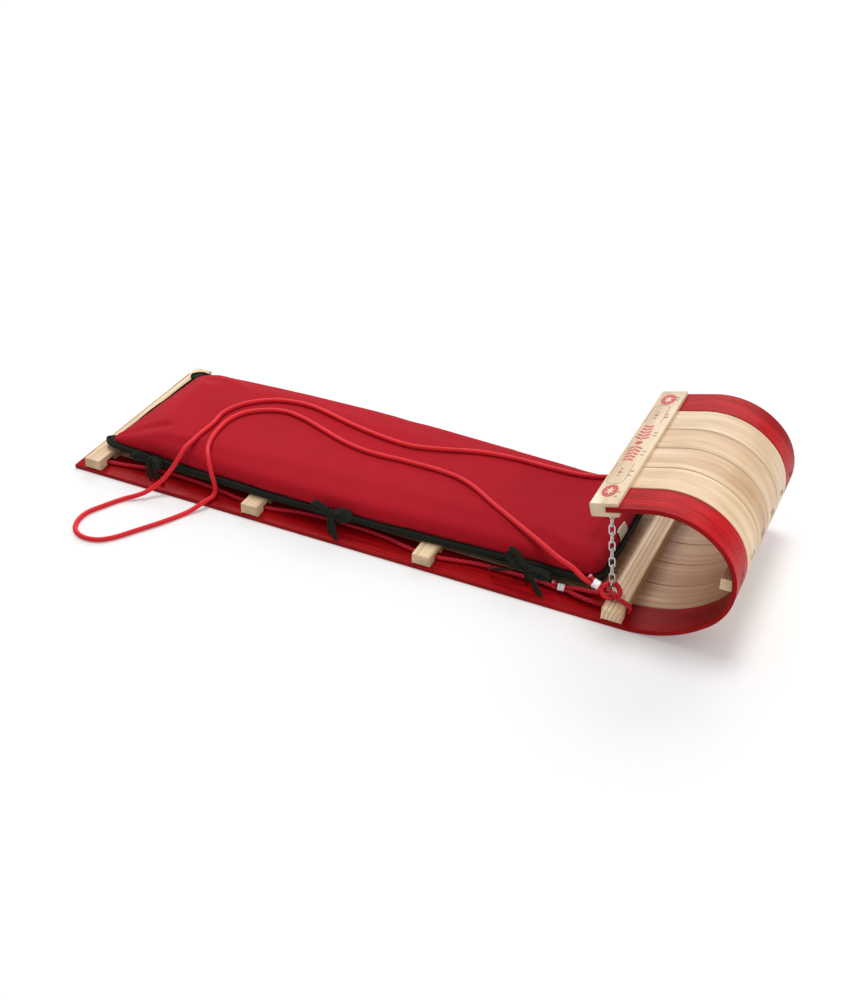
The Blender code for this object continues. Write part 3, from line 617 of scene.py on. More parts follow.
def make_nose_crossbar(material):
    radius = NOSE_RADIUS - SLAT_THICK - GAP * 2
    low, high = [atan2(z - NOSE_CENTRE[1], radius) for z in (NOSE_BAR_LOW, NOSE_BAR_TOP)]
    outline = [(NOSE_BAR_REAR, NOSE_BAR_TOP), (NOSE_BAR_REAR, NOSE_BAR_LOW)]
    for k in range(13):
        angle = low + (high - low) * k / 12
        outline.append((NOSE_CENTRE[0] + radius * cos(angle), NOSE_CENTRE[1] + radius * sin(angle)))
    bm = swept(outline, (-CROSSBAR_HALF, CROSSBAR_HALF), lambda y, x, z: (x, y, z))
    bevelled(bm, BAR_ROUND, 4, lambda e: all_ends(e, lambda p: p.x < NOSE_BAR_REAR + NEAR)
             and abs(e.verts[0].co.y - e.verts[1].co.y) > 0.1)
    bevelled(bm, BAR_EASE, 2, lambda e: all_ends(e, lambda p: abs(p.y) > CROSSBAR_HALF - NEAR))
    bar_piece("nose_crossbar", bm, material,
              Vector(((NOSE_BAR_REAR + 0.6) / 2, 0.0, (NOSE_BAR_LOW + NOSE_BAR_TOP) / 2)), (1, 0, 0), 9.0)


def on_board(u, y, lift=0.0):
    """A point over the headboard's top face."""
    return BOARD_CENTRE + BOARD_ALONG * u + BOARD_NORMAL * (BOARD_THICK / 2 + lift) + Vector((0, y, 0))


def make_headboard(material):
    u, v = BOARD_WIDE / 2, BOARD_THICK / 2
    roof = BOARD_SLAT_TOP + GAP
    floor = BOARD_SLAT_TOP - SLAT_THICK - GAP
    back = u - BOARD_SLOT_DEEP
    outline = rounded_outline([(-u, -v, 0.0024), (u, -v, 0.0020), (u, floor), (back, floor),
                               (back, roof), (u, roof), (u, v, 0.0016), (-u, v, 0.0026)], 0.0, 4)

    def place(station, a, b):
        y, inset = station
        pull = Vector((-u / 2 - a, -b)).normalized() * inset
        return BOARD_CENTRE + BOARD_ALONG * (a + pull.x) + BOARD_NORMAL * (b + pull.y) + Vector((0, y, 0))

    stations = [(-CROSSBAR_HALF, 0.0006), (-CROSSBAR_HALF + 0.0008, 0.0),
                (CROSSBAR_HALF - 0.0008, 0.0), (CROSSBAR_HALF, 0.0006)]
    bar_piece("headboard", swept(outline, stations, place), material, BOARD_CENTRE,
              BOARD_NORMAL, 14.0)


# ---- staples and the printed decoration -----------------------------------------------------------
def staple(bm, centre, along, out, crown=0.0062):
    """The flattened crown of a staple, its corners turning down into the wood."""
    across = out.cross(along).normalized()
    rings = []
    for a, rise in ((-1.0, -0.0009), (-0.97, 0.0), (-0.86, 0.00030),
                    (0.86, 0.00030), (0.97, 0.0), (1.0, -0.0009)):
        middle = centre + along * (a * crown / 2) + out * rise
        rings.append([bm.verts.new(middle + across * w + out * d) for w, d in
                      ((-0.00075, -0.0003), (0.00075, -0.0003), (0.00075, 0.0), (0.0004, 0.00015),
                       (-0.0004, 0.00015), (-0.00075, 0.0))])
    bridge_rings(bm, rings)


def make_staples(material):
    meshes = {label: bmesh.new() for label in ("headboard", "nose", "base")}
    for number, centre in enumerate(slat_centres()):
        for way in (-1, 1):
            y = centre + way * 0.0055
            shift = 0.0011 * sin(7.0 * number + way)
            staple(meshes["headboard"], on_board(0.0128 + shift, y + shift), BOARD_ALONG, BOARD_NORMAL)
            lean = shift / NOSE_RADIUS * 2 + 0.08
            out = Vector((cos(lean), 0, sin(lean)))
            place = Vector((NOSE_CENTRE[0], y, NOSE_CENTRE[1])) + out * (NOSE_RADIUS + GAP)
            staple(meshes["nose"], place, Vector((-out.z, 0, out.x)), out, crown=0.0092)
            for rear, wide, _ in CROSSBARS.values():
                if abs(abs(y) - 0.1545) > NOTCH_WIDE / 2:
                    staple(meshes["base"], Vector((rear + wide / 2 + shift, y, GAP)),
                           Vector((1, 0, 0)), Vector((0, 0, -1)))
    for label, bm in meshes.items():
        new_piece(f"{label}_staples", finish_mesh(label, bm), material, angle=30)


def flat_shape(bm, outline, lift):
    """A thin printed shape on the headboard, from an outline in board coordinates."""
    low = [bm.verts.new(on_board(u, y, 0.00001)) for u, y in outline]
    high = [bm.verts.new(on_board(u, y, lift)) for u, y in outline]
    bridge_rings(bm, [low, high])


def flat_line(bm, points, wide, lift):
    """A printed line of even or changing width along points in board coordinates."""
    points = [Vector(p) for p in points]
    last = len(points) - 1
    rings = []
    for i, point in enumerate(points):
        along = (points[min(i + 1, last)] - points[max(i - 1, 0)]).normalized()
        half = (wide(i / last) if callable(wide) else wide) / 2
        across = Vector((-along.y, along.x)) * half
        ring = []
        for offset, height in ((across, 0.00001), (-across, 0.00001), (-across, lift), (across, lift)):
            spot = point + offset
            ring.append(bm.verts.new(on_board(spot.x, spot.y, height)))
        rings.append(ring)
    bridge_rings(bm, rings)


def oval(centre, half_u, half_y, count=48):
    return [(centre[0] + half_u * c, centre[1] + half_y * s) for c, s in circle(count)]


def make_print():
    """Plain ornament: two ovals with a six-armed star, and a framed spray of leaves between them."""
    red = ink("red_ink", (0.40, 0.014, 0.014), 0.25)
    brown = ink("brown_ink", (0.26, 0.070, 0.040), 0.5)
    pale = ink("pale_ink", (0.80, 0.66, 0.48), 0.2)
    discs, lines, scroll, stars = bmesh.new(), bmesh.new(), bmesh.new(), bmesh.new()
    for centre in ((-0.0016, -0.1495), (-0.0016, 0.1550)):
        flat_shape(discs, oval(centre, 0.0124, 0.0186), INK_THICK)
        for k, (c, s) in enumerate(circle(6, pi / 6)):
            arm = Vector((0.0072 * c, 0.0108 * s))
            side = Vector((-arm.y, arm.x)).normalized() * 0.0011
            points = [arm * 0.10 + side * 0.6, arm * 0.62 + side, arm, arm * 0.62 - side,
                      arm * 0.10 - side * 0.6]
            flat_shape(stars, [(centre[0] + p.x, centre[1] + p.y) for p in points], 0.00011 + 0.000004 * k)
    low, high, near, far = -0.0178, 0.0098, -0.1280, 0.1340
    border = rounded_outline([(low, near), (high, near), (high, far), (low, far)], 0.0100, 8)
    dense = even_steps([p.to_3d() for p in border + border[:1]], 0.004)[:-1]
    for part in split_round_scroll(dense):
        flat_line(lines, [p.xy for p in part], 0.0012, INK_THICK)
    middle = Vector((-0.0050, 0.0030))
    for way in (-1, 1):
        flat_line(scroll, [(middle.x, middle.y + way * (0.009 + 0.052 * k / 12)) for k in range(13)],
                  lambda t: 0.0016 - 0.0008 * t, INK_THICK)
        for number in range(5):
            root = middle + Vector((0.0, way * (0.0115 + 0.0102 * number)))
            for lean in (-1, 1):
                outline = leaf(root, lean, way, 0.0160 - 0.0012 * number)
                flat_shape(scroll, outline, 0.00008 + 0.000002 * number)
        for step, wide in ((-0.0105, 0.0022), (0.0, 0.0036), (0.0105, 0.0022)):
            mark = (middle.x, middle.y + way * 0.0955 + step)
            flat_shape(lines, oval(mark, wide * 1.15, wide * 1.3, 4), 0.00007)
    petals = [(middle.x + 0.0058 * c * swell, middle.y + 0.0062 * s * swell)
              for k, (c, s) in enumerate(circle(48)) for swell in [1 + 0.22 * cos(2 * pi * k / 8)]]
    flat_shape(scroll, petals, 0.00010)
    for name, bm, material in (("print_ovals", discs, red), ("print_frame", lines, brown),
                               ("print_scroll", scroll, red), ("print_stars", stars, pale)):
        new_piece(name, finish_mesh(name, bm), material, angle=30)


def leaf(root, lean, way, reach):
    """A pointed leaf's outline, from its root outwards and back."""
    points = []
    for k in range(20):
        along = k / 10 if k <= 10 else 2 - k / 10
        bulge = 0.0026 * sin(pi * along) * (1 if k <= 10 else -1)
        points.append(root + Vector((lean * reach * along * 0.82, way * reach * along * 0.62))
                      + Vector((lean * 0.62, -way * 0.80)) * bulge)
    return points


def split_round_scroll(points):
    """The frame line in two open halves, broken where the scroll crosses it."""
    halves = [[], []]
    for p in points:
        if abs(p.y - 0.003) > 0.066:
            halves[0 if p.y < 0 else 1].append(p)
    found = []
    for half in halves:
        breaks = max(range(len(half)), key=lambda i: (half[i] - half[i - 1]).length)
        found.append(half[breaks:] + half[:breaks])
    return found


# ---- chains -------------------------------------------------------------------------------------
def make_chains(material):
    shift = (CHAIN_TOP_X - BOARD_CENTRE.x + BOARD_NORMAL.x * BOARD_THICK / 2) / BOARD_ALONG.x
    top_wood = BOARD_CENTRE + BOARD_ALONG * shift - BOARD_NORMAL * BOARD_THICK / 2
    foot_wood = Vector((CHAIN_FOOT_X, 0, SLAT_THICK + GAP + CROSSBARS["front_crossbar"][2]))
    down = (foot_wood - top_wood).normalized()
    cross = Vector((0, 1, 0))
    forward = cross.cross(down)
    for side, suffix in ((-1, "right"), (1, "left")):
        y = cross * (side * CHAIN_Y)
        middles = []
        for label, wood_face, out, ring_side in (("upper", top_wood, down, cross),
                                                 ("lower", foot_wood, -down, forward)):
            place = wood_face + y
            middle = place + out * (EYE_RADIUS + EYE_WIRE / 2 + GAP)
            path = [place - out * EYE_SHANK, place - out * 0.0020, place - out * 0.0002]
            for k in range(29):
                angle = radians(-90 + 326 * k / 28)
                path.append(middle + (ring_side * cos(angle) + out * sin(angle)) * EYE_RADIUS)
            wire_piece(f"{label}_screw_eye_{suffix}", path, EYE_WIRE / 2, material)
            middles.append(middle)
        seat = EYE_RADIUS - EYE_WIRE / 2 - CHAIN_WIRE / 2 - CHAIN_CLEAR
        start = middles[0] + down * seat
        span = (middles[1] - down * seat - start).length
        pitch = (span - CHAIN_WIRE - CHAIN_CLEAR) / CHAIN_LINKS
        long_half = (pitch + CHAIN_WIRE + CHAIN_CLEAR) / 2
        bend = (CHAIN_LINK_WIDE - CHAIN_WIRE) / 2
        for i in range(CHAIN_LINKS):
            centre = start + down * (long_half + pitch * i)
            wide = forward if i % 2 == 0 else cross
            path = [centre + wide * bend * c + down * (bend * s + (long_half - bend) * (1 if s > 0 else -1))
                    for c, s in circle(28, pi / 28)]
            wire_piece(f"chain_{suffix}_link_{i + 1}", path, CHAIN_WIRE / 2, material, closed=True)


# ---- cushion ------------------------------------------------------------------------------------
def cushion_half(x):
    swell = max(0.0, cos((x - CUSHION_REAR - 0.40) * pi / 1.05)) ** 2
    return 0.1395 + 0.0175 * swell


def cushion_ring(inset, z, corner_radius, along=40, corner=8):
    """A closed plan outline of the cushion, inset from its seam line."""
    rear, front = CUSHION_REAR + inset, CUSHION_FRONT - inset
    radius = max(corner_radius - inset, 0.010)
    points = []
    for k in range(along + 1):
        x = rear + radius + (front - rear - 2 * radius) * k / along
        points.append((x, -(cushion_half(x) - inset)))
    turn_y = cushion_half(front - radius) - inset - radius
    for k in range(1, corner + 1):
        angle = radians(-90 + 90 * k / corner)
        points.append((front - radius + radius * cos(angle), -turn_y + radius * sin(angle)))
    points += [(x, -y) for x, y in reversed(points[along + 1:])]
    points += [(x, -y) for x, y in reversed(points[:along + 1])]
    turn_y = cushion_half(rear + radius) - inset - radius
    rear_corner = []
    for k in range(1, corner + 1):
        angle = radians(90 + 90 * k / corner)
        rear_corner.append((rear + radius + radius * cos(angle), turn_y + radius * sin(angle)))
    points += rear_corner
    points += [(x, -y) for x, y in reversed(rear_corner)]
    return [Vector((x, y, z)) for x, y in points]


def loft_mesh(name, levels, corner_radius):
    bm = bmesh.new()
    rings = [[bm.verts.new(p) for p in cushion_ring(inset, z, corner_radius)] for inset, z in levels]
    bridge_rings(bm, rings)
    split_faces(bm)
    return finish_mesh(name, bm)


def near_tie(p):
    """0 to 1: how close a point of the cushion's edge is to one of the ties."""
    return max(bell((p.x - x) / 0.022) for x in TIE_PLACES) * (1 if abs(p.y) > 0.11 else 0)


def puff(cover):
    """Fills the cover like a cushion: cloth under pressure, held along its lower edge."""
    step = cover.modifiers.new("remesh", "REMESH")
    step.mode = "VOXEL"
    step.voxel_size = 0.0055
    mesh = baked(cover)
    held = cover.vertex_groups.new(name="held")
    for v in mesh.vertices:
        share = clamp((CUSHION_SEAM + 0.0075 - v.co.z) / 0.004)
        if share > 0:
            held.add([v.index], share, "ADD")
    start = [v.co.copy() for v in mesh.vertices]
    cloth = cover.modifiers.new("cloth", "CLOTH")
    for key, value in (("vertex_group_mass", "held"), ("quality", 5), ("mass", 0.25),
                       ("tension_stiffness", 12), ("compression_stiffness", 12), ("shear_stiffness", 6),
                       ("bending_stiffness", 0.6), ("use_pressure", True), ("uniform_pressure_force", 4.0)):
        setattr(cloth.settings, key, value)
    cloth.settings.effector_weights.gravity = 0.0
    cloth.collision_settings.use_collision = False
    scene = bpy.context.scene
    scene.frame_start = cloth.point_cache.frame_start = 1
    scene.frame_end = cloth.point_cache.frame_end = CLOTH_FRAMES
    for number in range(1, CLOTH_FRAMES + 1):
        scene.frame_set(number)
        bpy.context.view_layer.update()
    for v, before in zip(baked(cover).vertices, start):
        move = v.co - before
        if move.length > CLOTH_REACH:
            v.co = before + move.normalized() * CLOTH_REACH
    scene.frame_set(1)


def baked(piece):
    """The piece's mesh with its modifiers applied, which becomes its own."""
    mesh = bpy.data.meshes.new_from_object(piece.evaluated_get(bpy.context.evaluated_depsgraph_get()))
    piece.modifiers.clear()
    piece.data = mesh
    return mesh


def settle(mesh):
    """Slack in the cloth: long soft waves, and a pucker where each tie pulls at the edge."""
    for v in mesh.vertices:
        p = v.co
        height = (p.z - CUSHION_SEAM) / (CUSHION_TOP - CUSHION_SEAM)
        if height < 0:
            continue
        wave = noise.noise(Vector((p.x * 5.0, p.y * 9.0, 0.3)))
        crease = noise.noise(Vector((p.x * 22.0, p.y * 7.0 + 3.0, 1.7)))
        p.z += height * (0.0009 * wave + 0.0004 * crease)
        side = 1.0 if p.y > 0 else -1.0
        edge = max(0.0, 1.0 - height)
        p.y -= side * 0.0030 * near_tie(p) * (0.35 + edge * 0.65)
        p.y += side * 0.0009 * edge * noise.noise(Vector((p.x * 34.0, side, 5.0)))
        fold = max(bell((p.x - x) / 0.045) for x in TIE_PLACES)
        p.y += side * 0.0008 * fold * sin((p.x - TIE_PLACES[1]) * 380.0) * edge


def rear_corner(p):
    """The black edge stands clear of the red cover at both rear corners, and draws in between them."""
    rear = clamp((-0.500 - p.x) / 0.050)
    corner = bell((abs(p.y) - CORNER_Y) / 0.023) if abs(p.y) < CORNER_Y else 1.0
    out, lift = (0.0095, 0.0030) if p.y < 0 else (-0.0100, 0.0105)
    return Vector((p.x + rear * (0.0420 * (1 - corner) - out * corner), p.y, p.z + lift * rear * corner))


def rear_cover(p):
    """The cover's rear edge, which is drawn in most at the left, with flattened corners."""
    rear = clamp((-0.480 - p.x) / 0.060)
    share = eased(clamp((p.y + 0.146) / 0.075))
    far = Vector((p.x - CUSHION_REAR - 0.012, abs(p.y) - CORNER_Y)).length
    thin = bell(far / 0.048) * 0.42 if p.y < 0 else bell(far / 0.036) * 0.24
    z = p.z - thin * max(0.0, p.z - CUSHION_SEAM)
    return Vector((p.x + rear * (0.0315 * share - 0.0080), p.y, z))


def make_cushion(red, black, tape):
    levels = [(0.0600, -0.0030), (0.0130, -0.0030), (0.0045, -0.0010), (0.0022, 0.0030), (0.0020, 0.0100),
              (0.0038, 0.0175), (0.0080, 0.0240), (0.0150, 0.0285), (0.0250, 0.0308), (0.0400, 0.0316),
              (0.0600, 0.0320)]
    levels = [(inset, CUSHION_SEAM + rise) for inset, rise in levels]
    cover = new_piece("cushion_top", loft_mesh("cushion_top", levels, 0.036), red,
                      ["cushion_cover", "foam_core"], 180)
    for v in cover.data.vertices:
        v.co = rear_cover(v.co)
    puff(cover)
    settle(cover.data)
    cover.data.materials.clear()
    cover.data.materials.append(red)
    cover.data.shade_smooth()
    cover.modifiers.new("relax", "SMOOTH").iterations = 8
    smooth = cover.modifiers.new("smooth", "SUBSURF")
    smooth.levels = smooth.render_levels = 1

    tray = [(inset, CUSHION_LOW + rise) for inset, rise in
            ((0.060, 0.0), (0.014, 0.0), (0.0075, 0.0012), (0.0032, 0.0045), (0.0012, 0.0085))]
    tray += [(inset, CUSHION_SEAM + rise) for inset, rise in
             ((0.0014, -0.0012), (0.0050, 0.0002), (0.0120, -0.0004), (0.0600, -0.0012))]
    base = new_piece("cushion_under", loft_mesh("cushion_under", tray, 0.030), black,
                     ["cushion_base"], 70)
    for v in base.data.vertices:
        v.co = rear_corner(v.co)
    new_piece("cushion_edge_binding", binding_mesh(), tape, ["cushion_binding"], 80)
    return cover


def binding_mesh():
    """Tape folded round the cushion's edge, a little uneven as sewn."""
    edge = [rear_corner(p) for p in cushion_ring(-0.0004, 0.0, 0.028, along=60, corner=14)]
    path = even_steps(edge + edge[:1], 0.0045)[:-1]
    bm = bmesh.new()
    rings, strip = [], []
    gone = 0.0
    for i, (p, (along, _, _)) in enumerate(zip(path, carried_frames(path, True))):
        gone += (p - path[i - 1]).length if i else 0.0
        out = along.cross(Vector((0, 0, 1)))
        if out.dot(p - Vector((min(max(p.x, -0.5), 0.3), 0, 0))) < 0:
            out = -out
        lift = 0.0009 * noise.noise(p * 16.0) + 0.0005 * noise.noise(p * 60.0)
        swell = 1.0 + 0.45 * noise.noise(p * 24.0 + Vector((4, 0, 0)))
        tall = 0.0060 + 0.0016 * noise.noise(p * 15.0 + Vector((0, 7, 0))) - 0.0008 * clamp((-0.3 - p.x) * 5)
        ring = []
        for c, s in circle(14):
            side = (c ** 2) ** 0.35 * (1 if c > 0 else -1)
            height = CUSHION_LOW + 0.0082 + lift + tall * s
            ring.append(bm.verts.new(p + out * (0.0007 + 0.0020 * swell * side) + Vector((0, 0, height))))
            strip.append((gone, tall * s, 0.0))
        rings.append(ring)
    bridge_rings(bm, rings, closed=True)
    return finish_mesh("binding", bm, {"strip": strip})


# ---- ties and label -------------------------------------------------------------------------------
def ribbon(bm, strip, points, wide, thick=0.0008):
    """A strip of tape. Each point gives its place and the direction across the tape."""
    places = smooth_route([p for p, _ in points], 5)
    sides = [Vector(a).normalized() for _, a in points]
    across = [a.lerp(b, k / 5) for a, b in zip(sides, sides[1:]) for k in range(5)] + sides[-1:]
    rings = []
    gone = 0.0
    for i, place in enumerate(places):
        before, after = places[max(i - 1, 0)], places[min(i + 1, len(places) - 1)]
        along = (after - before).normalized()
        side = (across[i] - along * across[i].dot(along)).normalized()
        up = along.cross(side)
        gone += (place - places[i - 1]).length if i else 0.0
        ring = []
        for w, d in ((1.0, 0.0), (0.94, 0.5), (0.5, 0.42), (0.0, 0.40), (-0.5, 0.42), (-0.94, 0.5),
                     (-1.0, 0.0), (-0.94, -0.5), (-0.5, -0.42), (0.0, -0.40), (0.5, -0.42), (0.94, -0.5)):
            ring.append(bm.verts.new(place + side * (w * wide / 2) + up * (d * thick)))
            strip.append((gone, w * wide / 2, 0.0))
        rings.append(ring)
    bridge_rings(bm, rings)


BOWS = {                    # offsets from the knot: along X, outwards, up; loops, then tails
    "rear": (0.0, 0.0395, [
        [(-0.014, 0.002, 0.006), (-0.03, 0.003, 0.008), (-0.037, 0.002, 0.003),
         (-0.028, 0.005, -0.002), (-0.013, 0.004, 0.0)],
        [(0.01, 0.004, 0.005), (0.022, 0.009, 0.006), (0.027, 0.012, 0.0), (0.019, 0.011, -0.005),
         (0.009, 0.005, -0.003)],
    ], [
        [(0.006, 0.006, -0.008), (0.018, 0.014, -0.016), (0.031, 0.019, -0.024), (0.04, 0.021, -0.0285)],
        [(-0.004, 0.006, -0.009), (0.002, 0.013, -0.02), (0.012, 0.02, -0.0285)],
    ]),
    "middle": (-0.0035, 0.045, [
        [(-0.012, 0.003, 0.006), (-0.026, 0.004, 0.013), (-0.036, 0.002, 0.011),
         (-0.03, 0.006, 0.004), (-0.013, 0.005, 0.001)],
        [(0.01, 0.004, 0.006), (0.026, 0.007, 0.015), (0.04, 0.007, 0.012), (0.035, 0.008, 0.001),
         (0.014, 0.006, -0.003)],
    ], [
        [(0.003, 0.007, -0.009), (0.009, 0.013, -0.02), (0.016, 0.02, -0.031), (0.021, 0.024, -0.035)],
        [(-0.002, 0.005, -0.01), (-0.001, 0.01, -0.021), (0.005, 0.016, -0.033)],
    ]),
    "front": (-0.002, 0.04, [
        [(-0.008, 0.002, 0.01), (-0.019, 0.0, 0.024), (-0.03, -0.001, 0.025), (-0.029, 0.004, 0.013),
         (-0.012, 0.005, 0.003)],
        [(0.012, 0.004, 0.003), (0.03, 0.007, 0.005), (0.044, 0.007, 0.0), (0.034, 0.008, -0.006),
         (0.012, 0.006, -0.004)],
    ], [
        [(0.006, 0.007, -0.007), (0.018, 0.013, -0.016), (0.03, 0.02, -0.025), (0.037, 0.025, -0.03)],
        [(-0.012, 0.006, -0.004), (-0.03, 0.008, -0.01), (-0.048, 0.009, -0.014), (-0.06, 0.009, -0.0165)],
    ]),
}


def make_ties(tape):
    """Tapes sewn to the cushion's edge, passed round the grab rope and tied in bows."""
    radius = GRAB_ROPE / 2 + 0.0013
    for label, x in zip(BOWS, TIE_PLACES):
        shift, height, loops, tails = BOWS[label]
        _, rope_y, rope_z = min(GRAB_RUN, key=lambda p: abs(p[0] - x))
        rope_y = abs(rope_y)
        edge = cushion_half(x) + 0.0034
        out = max(edge + 0.0040, rope_y + 0.0060)
        for side, suffix, drop, spread in ((-1, "right", 0.0, 1.0), (1, "left", 0.0120, 0.45)):
            knot = Vector((x + shift, side * out, height - drop))

            def at(dx, dy, dz):
                return Vector((knot.x + dx, side * (out + dy), max(knot.z + dz * spread, TAPE_LOW)))

            bm = bmesh.new()
            strip = []
            loop = [Vector((x, side * (edge - 0.0020), 0.0340)),
                    Vector((x, side * (rope_y - radius), rope_z + 0.003))]
            for k in range(5):
                angle = radians(190 + 45 * k)
                loop.append(Vector((x, side * (rope_y + radius * cos(angle)), rope_z + radius * sin(angle))))
            loop.append(Vector((x, side * (out - 0.0008), 0.0240)))
            ribbon(bm, strip, [(p, (1, 0, 0)) for p in loop]
                   + [(Vector((knot.x, side * out, knot.z - 0.002)), (1, 0, 0.1))], 0.0085)
            wrap = [knot + Vector((0.0004 * k - 0.0016, side * 0.0042 * cos(pi * k / 4),
                                   0.0048 * sin(pi * k / 4))) for k in range(9)]
            ribbon(bm, strip, [(p, (1, 0, 0.35)) for p in wrap], 0.0078, 0.0012)
            over = Vector((0.0006, side * 0.0012, 0))
            ribbon(bm, strip, [(p + over, (1, 0, -0.45)) for p in wrap], 0.0060, 0.0010)
            for points in loops:
                places = [at(0.0, 0.001, 0.001)] + [at(*p) for p in points] + [at(0.0, 0.0015, -0.001)]
                lean = (0.25, -side * 0.50, 0.80) if points[0][0] < 0 else (-0.25, -side * 0.55, 0.78)
                ribbon(bm, strip, [(p, lean) for p in places], 0.0108, 0.0009)
            for points in tails:
                places = [at(0.0, 0.0025, -0.001)] + [at(*p) for p in points]
                lean = [(0.9, side * 0.1, 0.45)] * (len(places) - 1) + [(0.95, side * 0.3, 0.1)]
                ribbon(bm, strip, list(zip(places, lean)), 0.0106, 0.0009)
            name = f"tie_{label}_{suffix}"
            mesh = finish_mesh(name, bm, {"strip": strip})
            new_piece("seen_" + name, mesh, tape, [name], 60)


def make_label(tree, material):
    """A plain cloth label sewn into the seam at the cushion's front end."""
    bm = bmesh.new()
    rows = []
    wide, high, count, steps = 0.036, 0.024, 12, 10
    for i in range(count + 1):
        y = -0.026 + wide * i / count
        row = []
        for k in range(steps + 1):
            t = k / steps
            height = CUSHION_SEAM + 0.0020 + high * t * 0.82
            hit = tree.ray_cast(Vector((0.46, y, height)), Vector((-1, 0, 0)))[0]
            x = (hit.x if hit else CUSHION_FRONT) + 0.0009 + 0.0022 * t * t * (0.6 + 0.4 * sin(140.0 * y))
            row.append(bm.verts.new((x, y, height)))
        rows.append(row)
    for low, up in zip(rows, rows[1:]):
        for k in range(steps):
            bm.faces.new((low[k], low[k + 1], up[k + 1], up[k]))
    area = sum(face.calc_area() for face in bm.faces)
    label = new_piece("cushion_label", finish_mesh("label", bm), material, ["care_label"], 60)
    shell = label.modifiers.new("cloth", "SOLIDIFY")
    shell.thickness = 0.0005
    shell.offset = 1.0


# ---- ropes ----------------------------------------------------------------------------------------
PULL_FERRULE = ((0.3855, -0.159, 0.05), (0.96, -0.1, -0.24), (0, 0.8, 0.6))
PULL_EYE = [
    (0.4, -0.15, 0.0484), (0.4025, -0.1415, 0.0477), (0.4085, -0.1362, 0.044), (0.4158, -0.1364, 0.039),
    (0.421, -0.1425, 0.0356), (0.4218, -0.151, 0.0342), (0.4165, -0.1585, 0.0342),
    (0.408, -0.1638, 0.0351), (0.4, -0.1665, 0.0395),
]
PULL_RUN_RIGHT = [
    (0.3655, -0.1605, 0.0545), (0.3415, -0.152, 0.0645), (0.316, -0.145, 0.0688),
    (0.2862, -0.1325, 0.0746), (0.256, -0.116, 0.079), (0.223, -0.097, 0.08), (0.169, -0.066, 0.08),
    (0.112, -0.03, 0.08), (0.068, -0.015, 0.08), (-0.02, -0.011, 0.08), (-0.095, -0.013, 0.08),
    (-0.15, -0.003, 0.08), (-0.205, 0.017, 0.08), (-0.256, 0.035, 0.08), (-0.296, 0.041, 0.08),
    (-0.333, 0.028, 0.08), (-0.361, 0.004, 0.08), (-0.3735, -0.029, 0.08), (-0.3735, -0.065, 0.08),
    (-0.368, -0.0987, 0.0803), (-0.361, -0.121, 0.0795), (-0.353, -0.1355, 0.0775),
    (-0.3455, -0.1455, 0.0745), (-0.337, -0.156, 0.0665), (-0.3298, -0.163, 0.0565),
    (-0.325, -0.1655, 0.044), (-0.3224, -0.166, 0.033), (-0.322, -0.1675, 0.021),
    (-0.3228, -0.1745, 0.0142), (-0.325, -0.186, 0.0134), (-0.329, -0.1975, 0.013),
    (-0.3345, -0.2075, 0.0092), (-0.344, -0.224, 0.0046),
]
PULL_BIGHT = [
    (-0.364, -0.263, 0.0045), (-0.394, -0.31, 0.0045), (-0.417, -0.344, 0.0045), (-0.437, -0.36, 0.0045),
    (-0.464, -0.364, 0.0045), (-0.487, -0.353, 0.0045), (-0.4995, -0.331, 0.0045),
    (-0.501, -0.304, 0.0045), (-0.488, -0.274, 0.0045), (-0.468, -0.239, 0.0045),
]
PULL_RUN_LEFT = [
    (-0.4504, -0.2253, 0.0085), (-0.4391, -0.2163, 0.0125), (-0.4299, -0.2041, 0.018),
    (-0.4169, -0.19, 0.03), (-0.4051, -0.1731, 0.049), (-0.399, -0.157, 0.0655),
    (-0.3972, -0.142, 0.0748), (-0.396, -0.124, 0.0795), (-0.3951, -0.1, 0.0802), (-0.393, -0.053, 0.08),
    (-0.396, -0.014, 0.08), (-0.38, 0.029, 0.08), (-0.343, 0.064, 0.08), (-0.306, 0.078, 0.08),
    (-0.26, 0.08, 0.08), (-0.217, 0.07, 0.08), (-0.16, 0.054, 0.08), (-0.095, 0.042, 0.08),
    (-0.038, 0.038, 0.08), (0.012, 0.05, 0.08), (0.08, 0.073, 0.08), (0.145, 0.083, 0.08),
    (0.22, 0.083, 0.08), (0.282, 0.088, 0.08), (0.325, 0.109, 0.0805), (0.342, 0.129, 0.0786),
    (0.355, 0.148, 0.0688), (0.3655, 0.1605, 0.0545),
]
GRAB_FERRULE = ((0.3262, -0.153, 0.0185), (0.995, 0.0, 0.05), (0, 0.55, 0.83))
GRAB_EYE = [
    (0.3571, -0.1495, 0.0232), (0.3885, -0.151, 0.0285), (0.3975, -0.154, 0.0385),
    (0.408, -0.16, 0.0442), (0.419, -0.1645, 0.042), (0.43, -0.1655, 0.0366), (0.44, -0.1665, 0.0345),
    (0.4452, -0.1665, 0.029), (0.4452, -0.1645, 0.019), (0.4405, -0.161, 0.0126), (0.428, -0.16, 0.0122),
    (0.408, -0.16, 0.0122), (0.396, -0.16, 0.013), (0.3665, -0.1605, 0.0158),
]
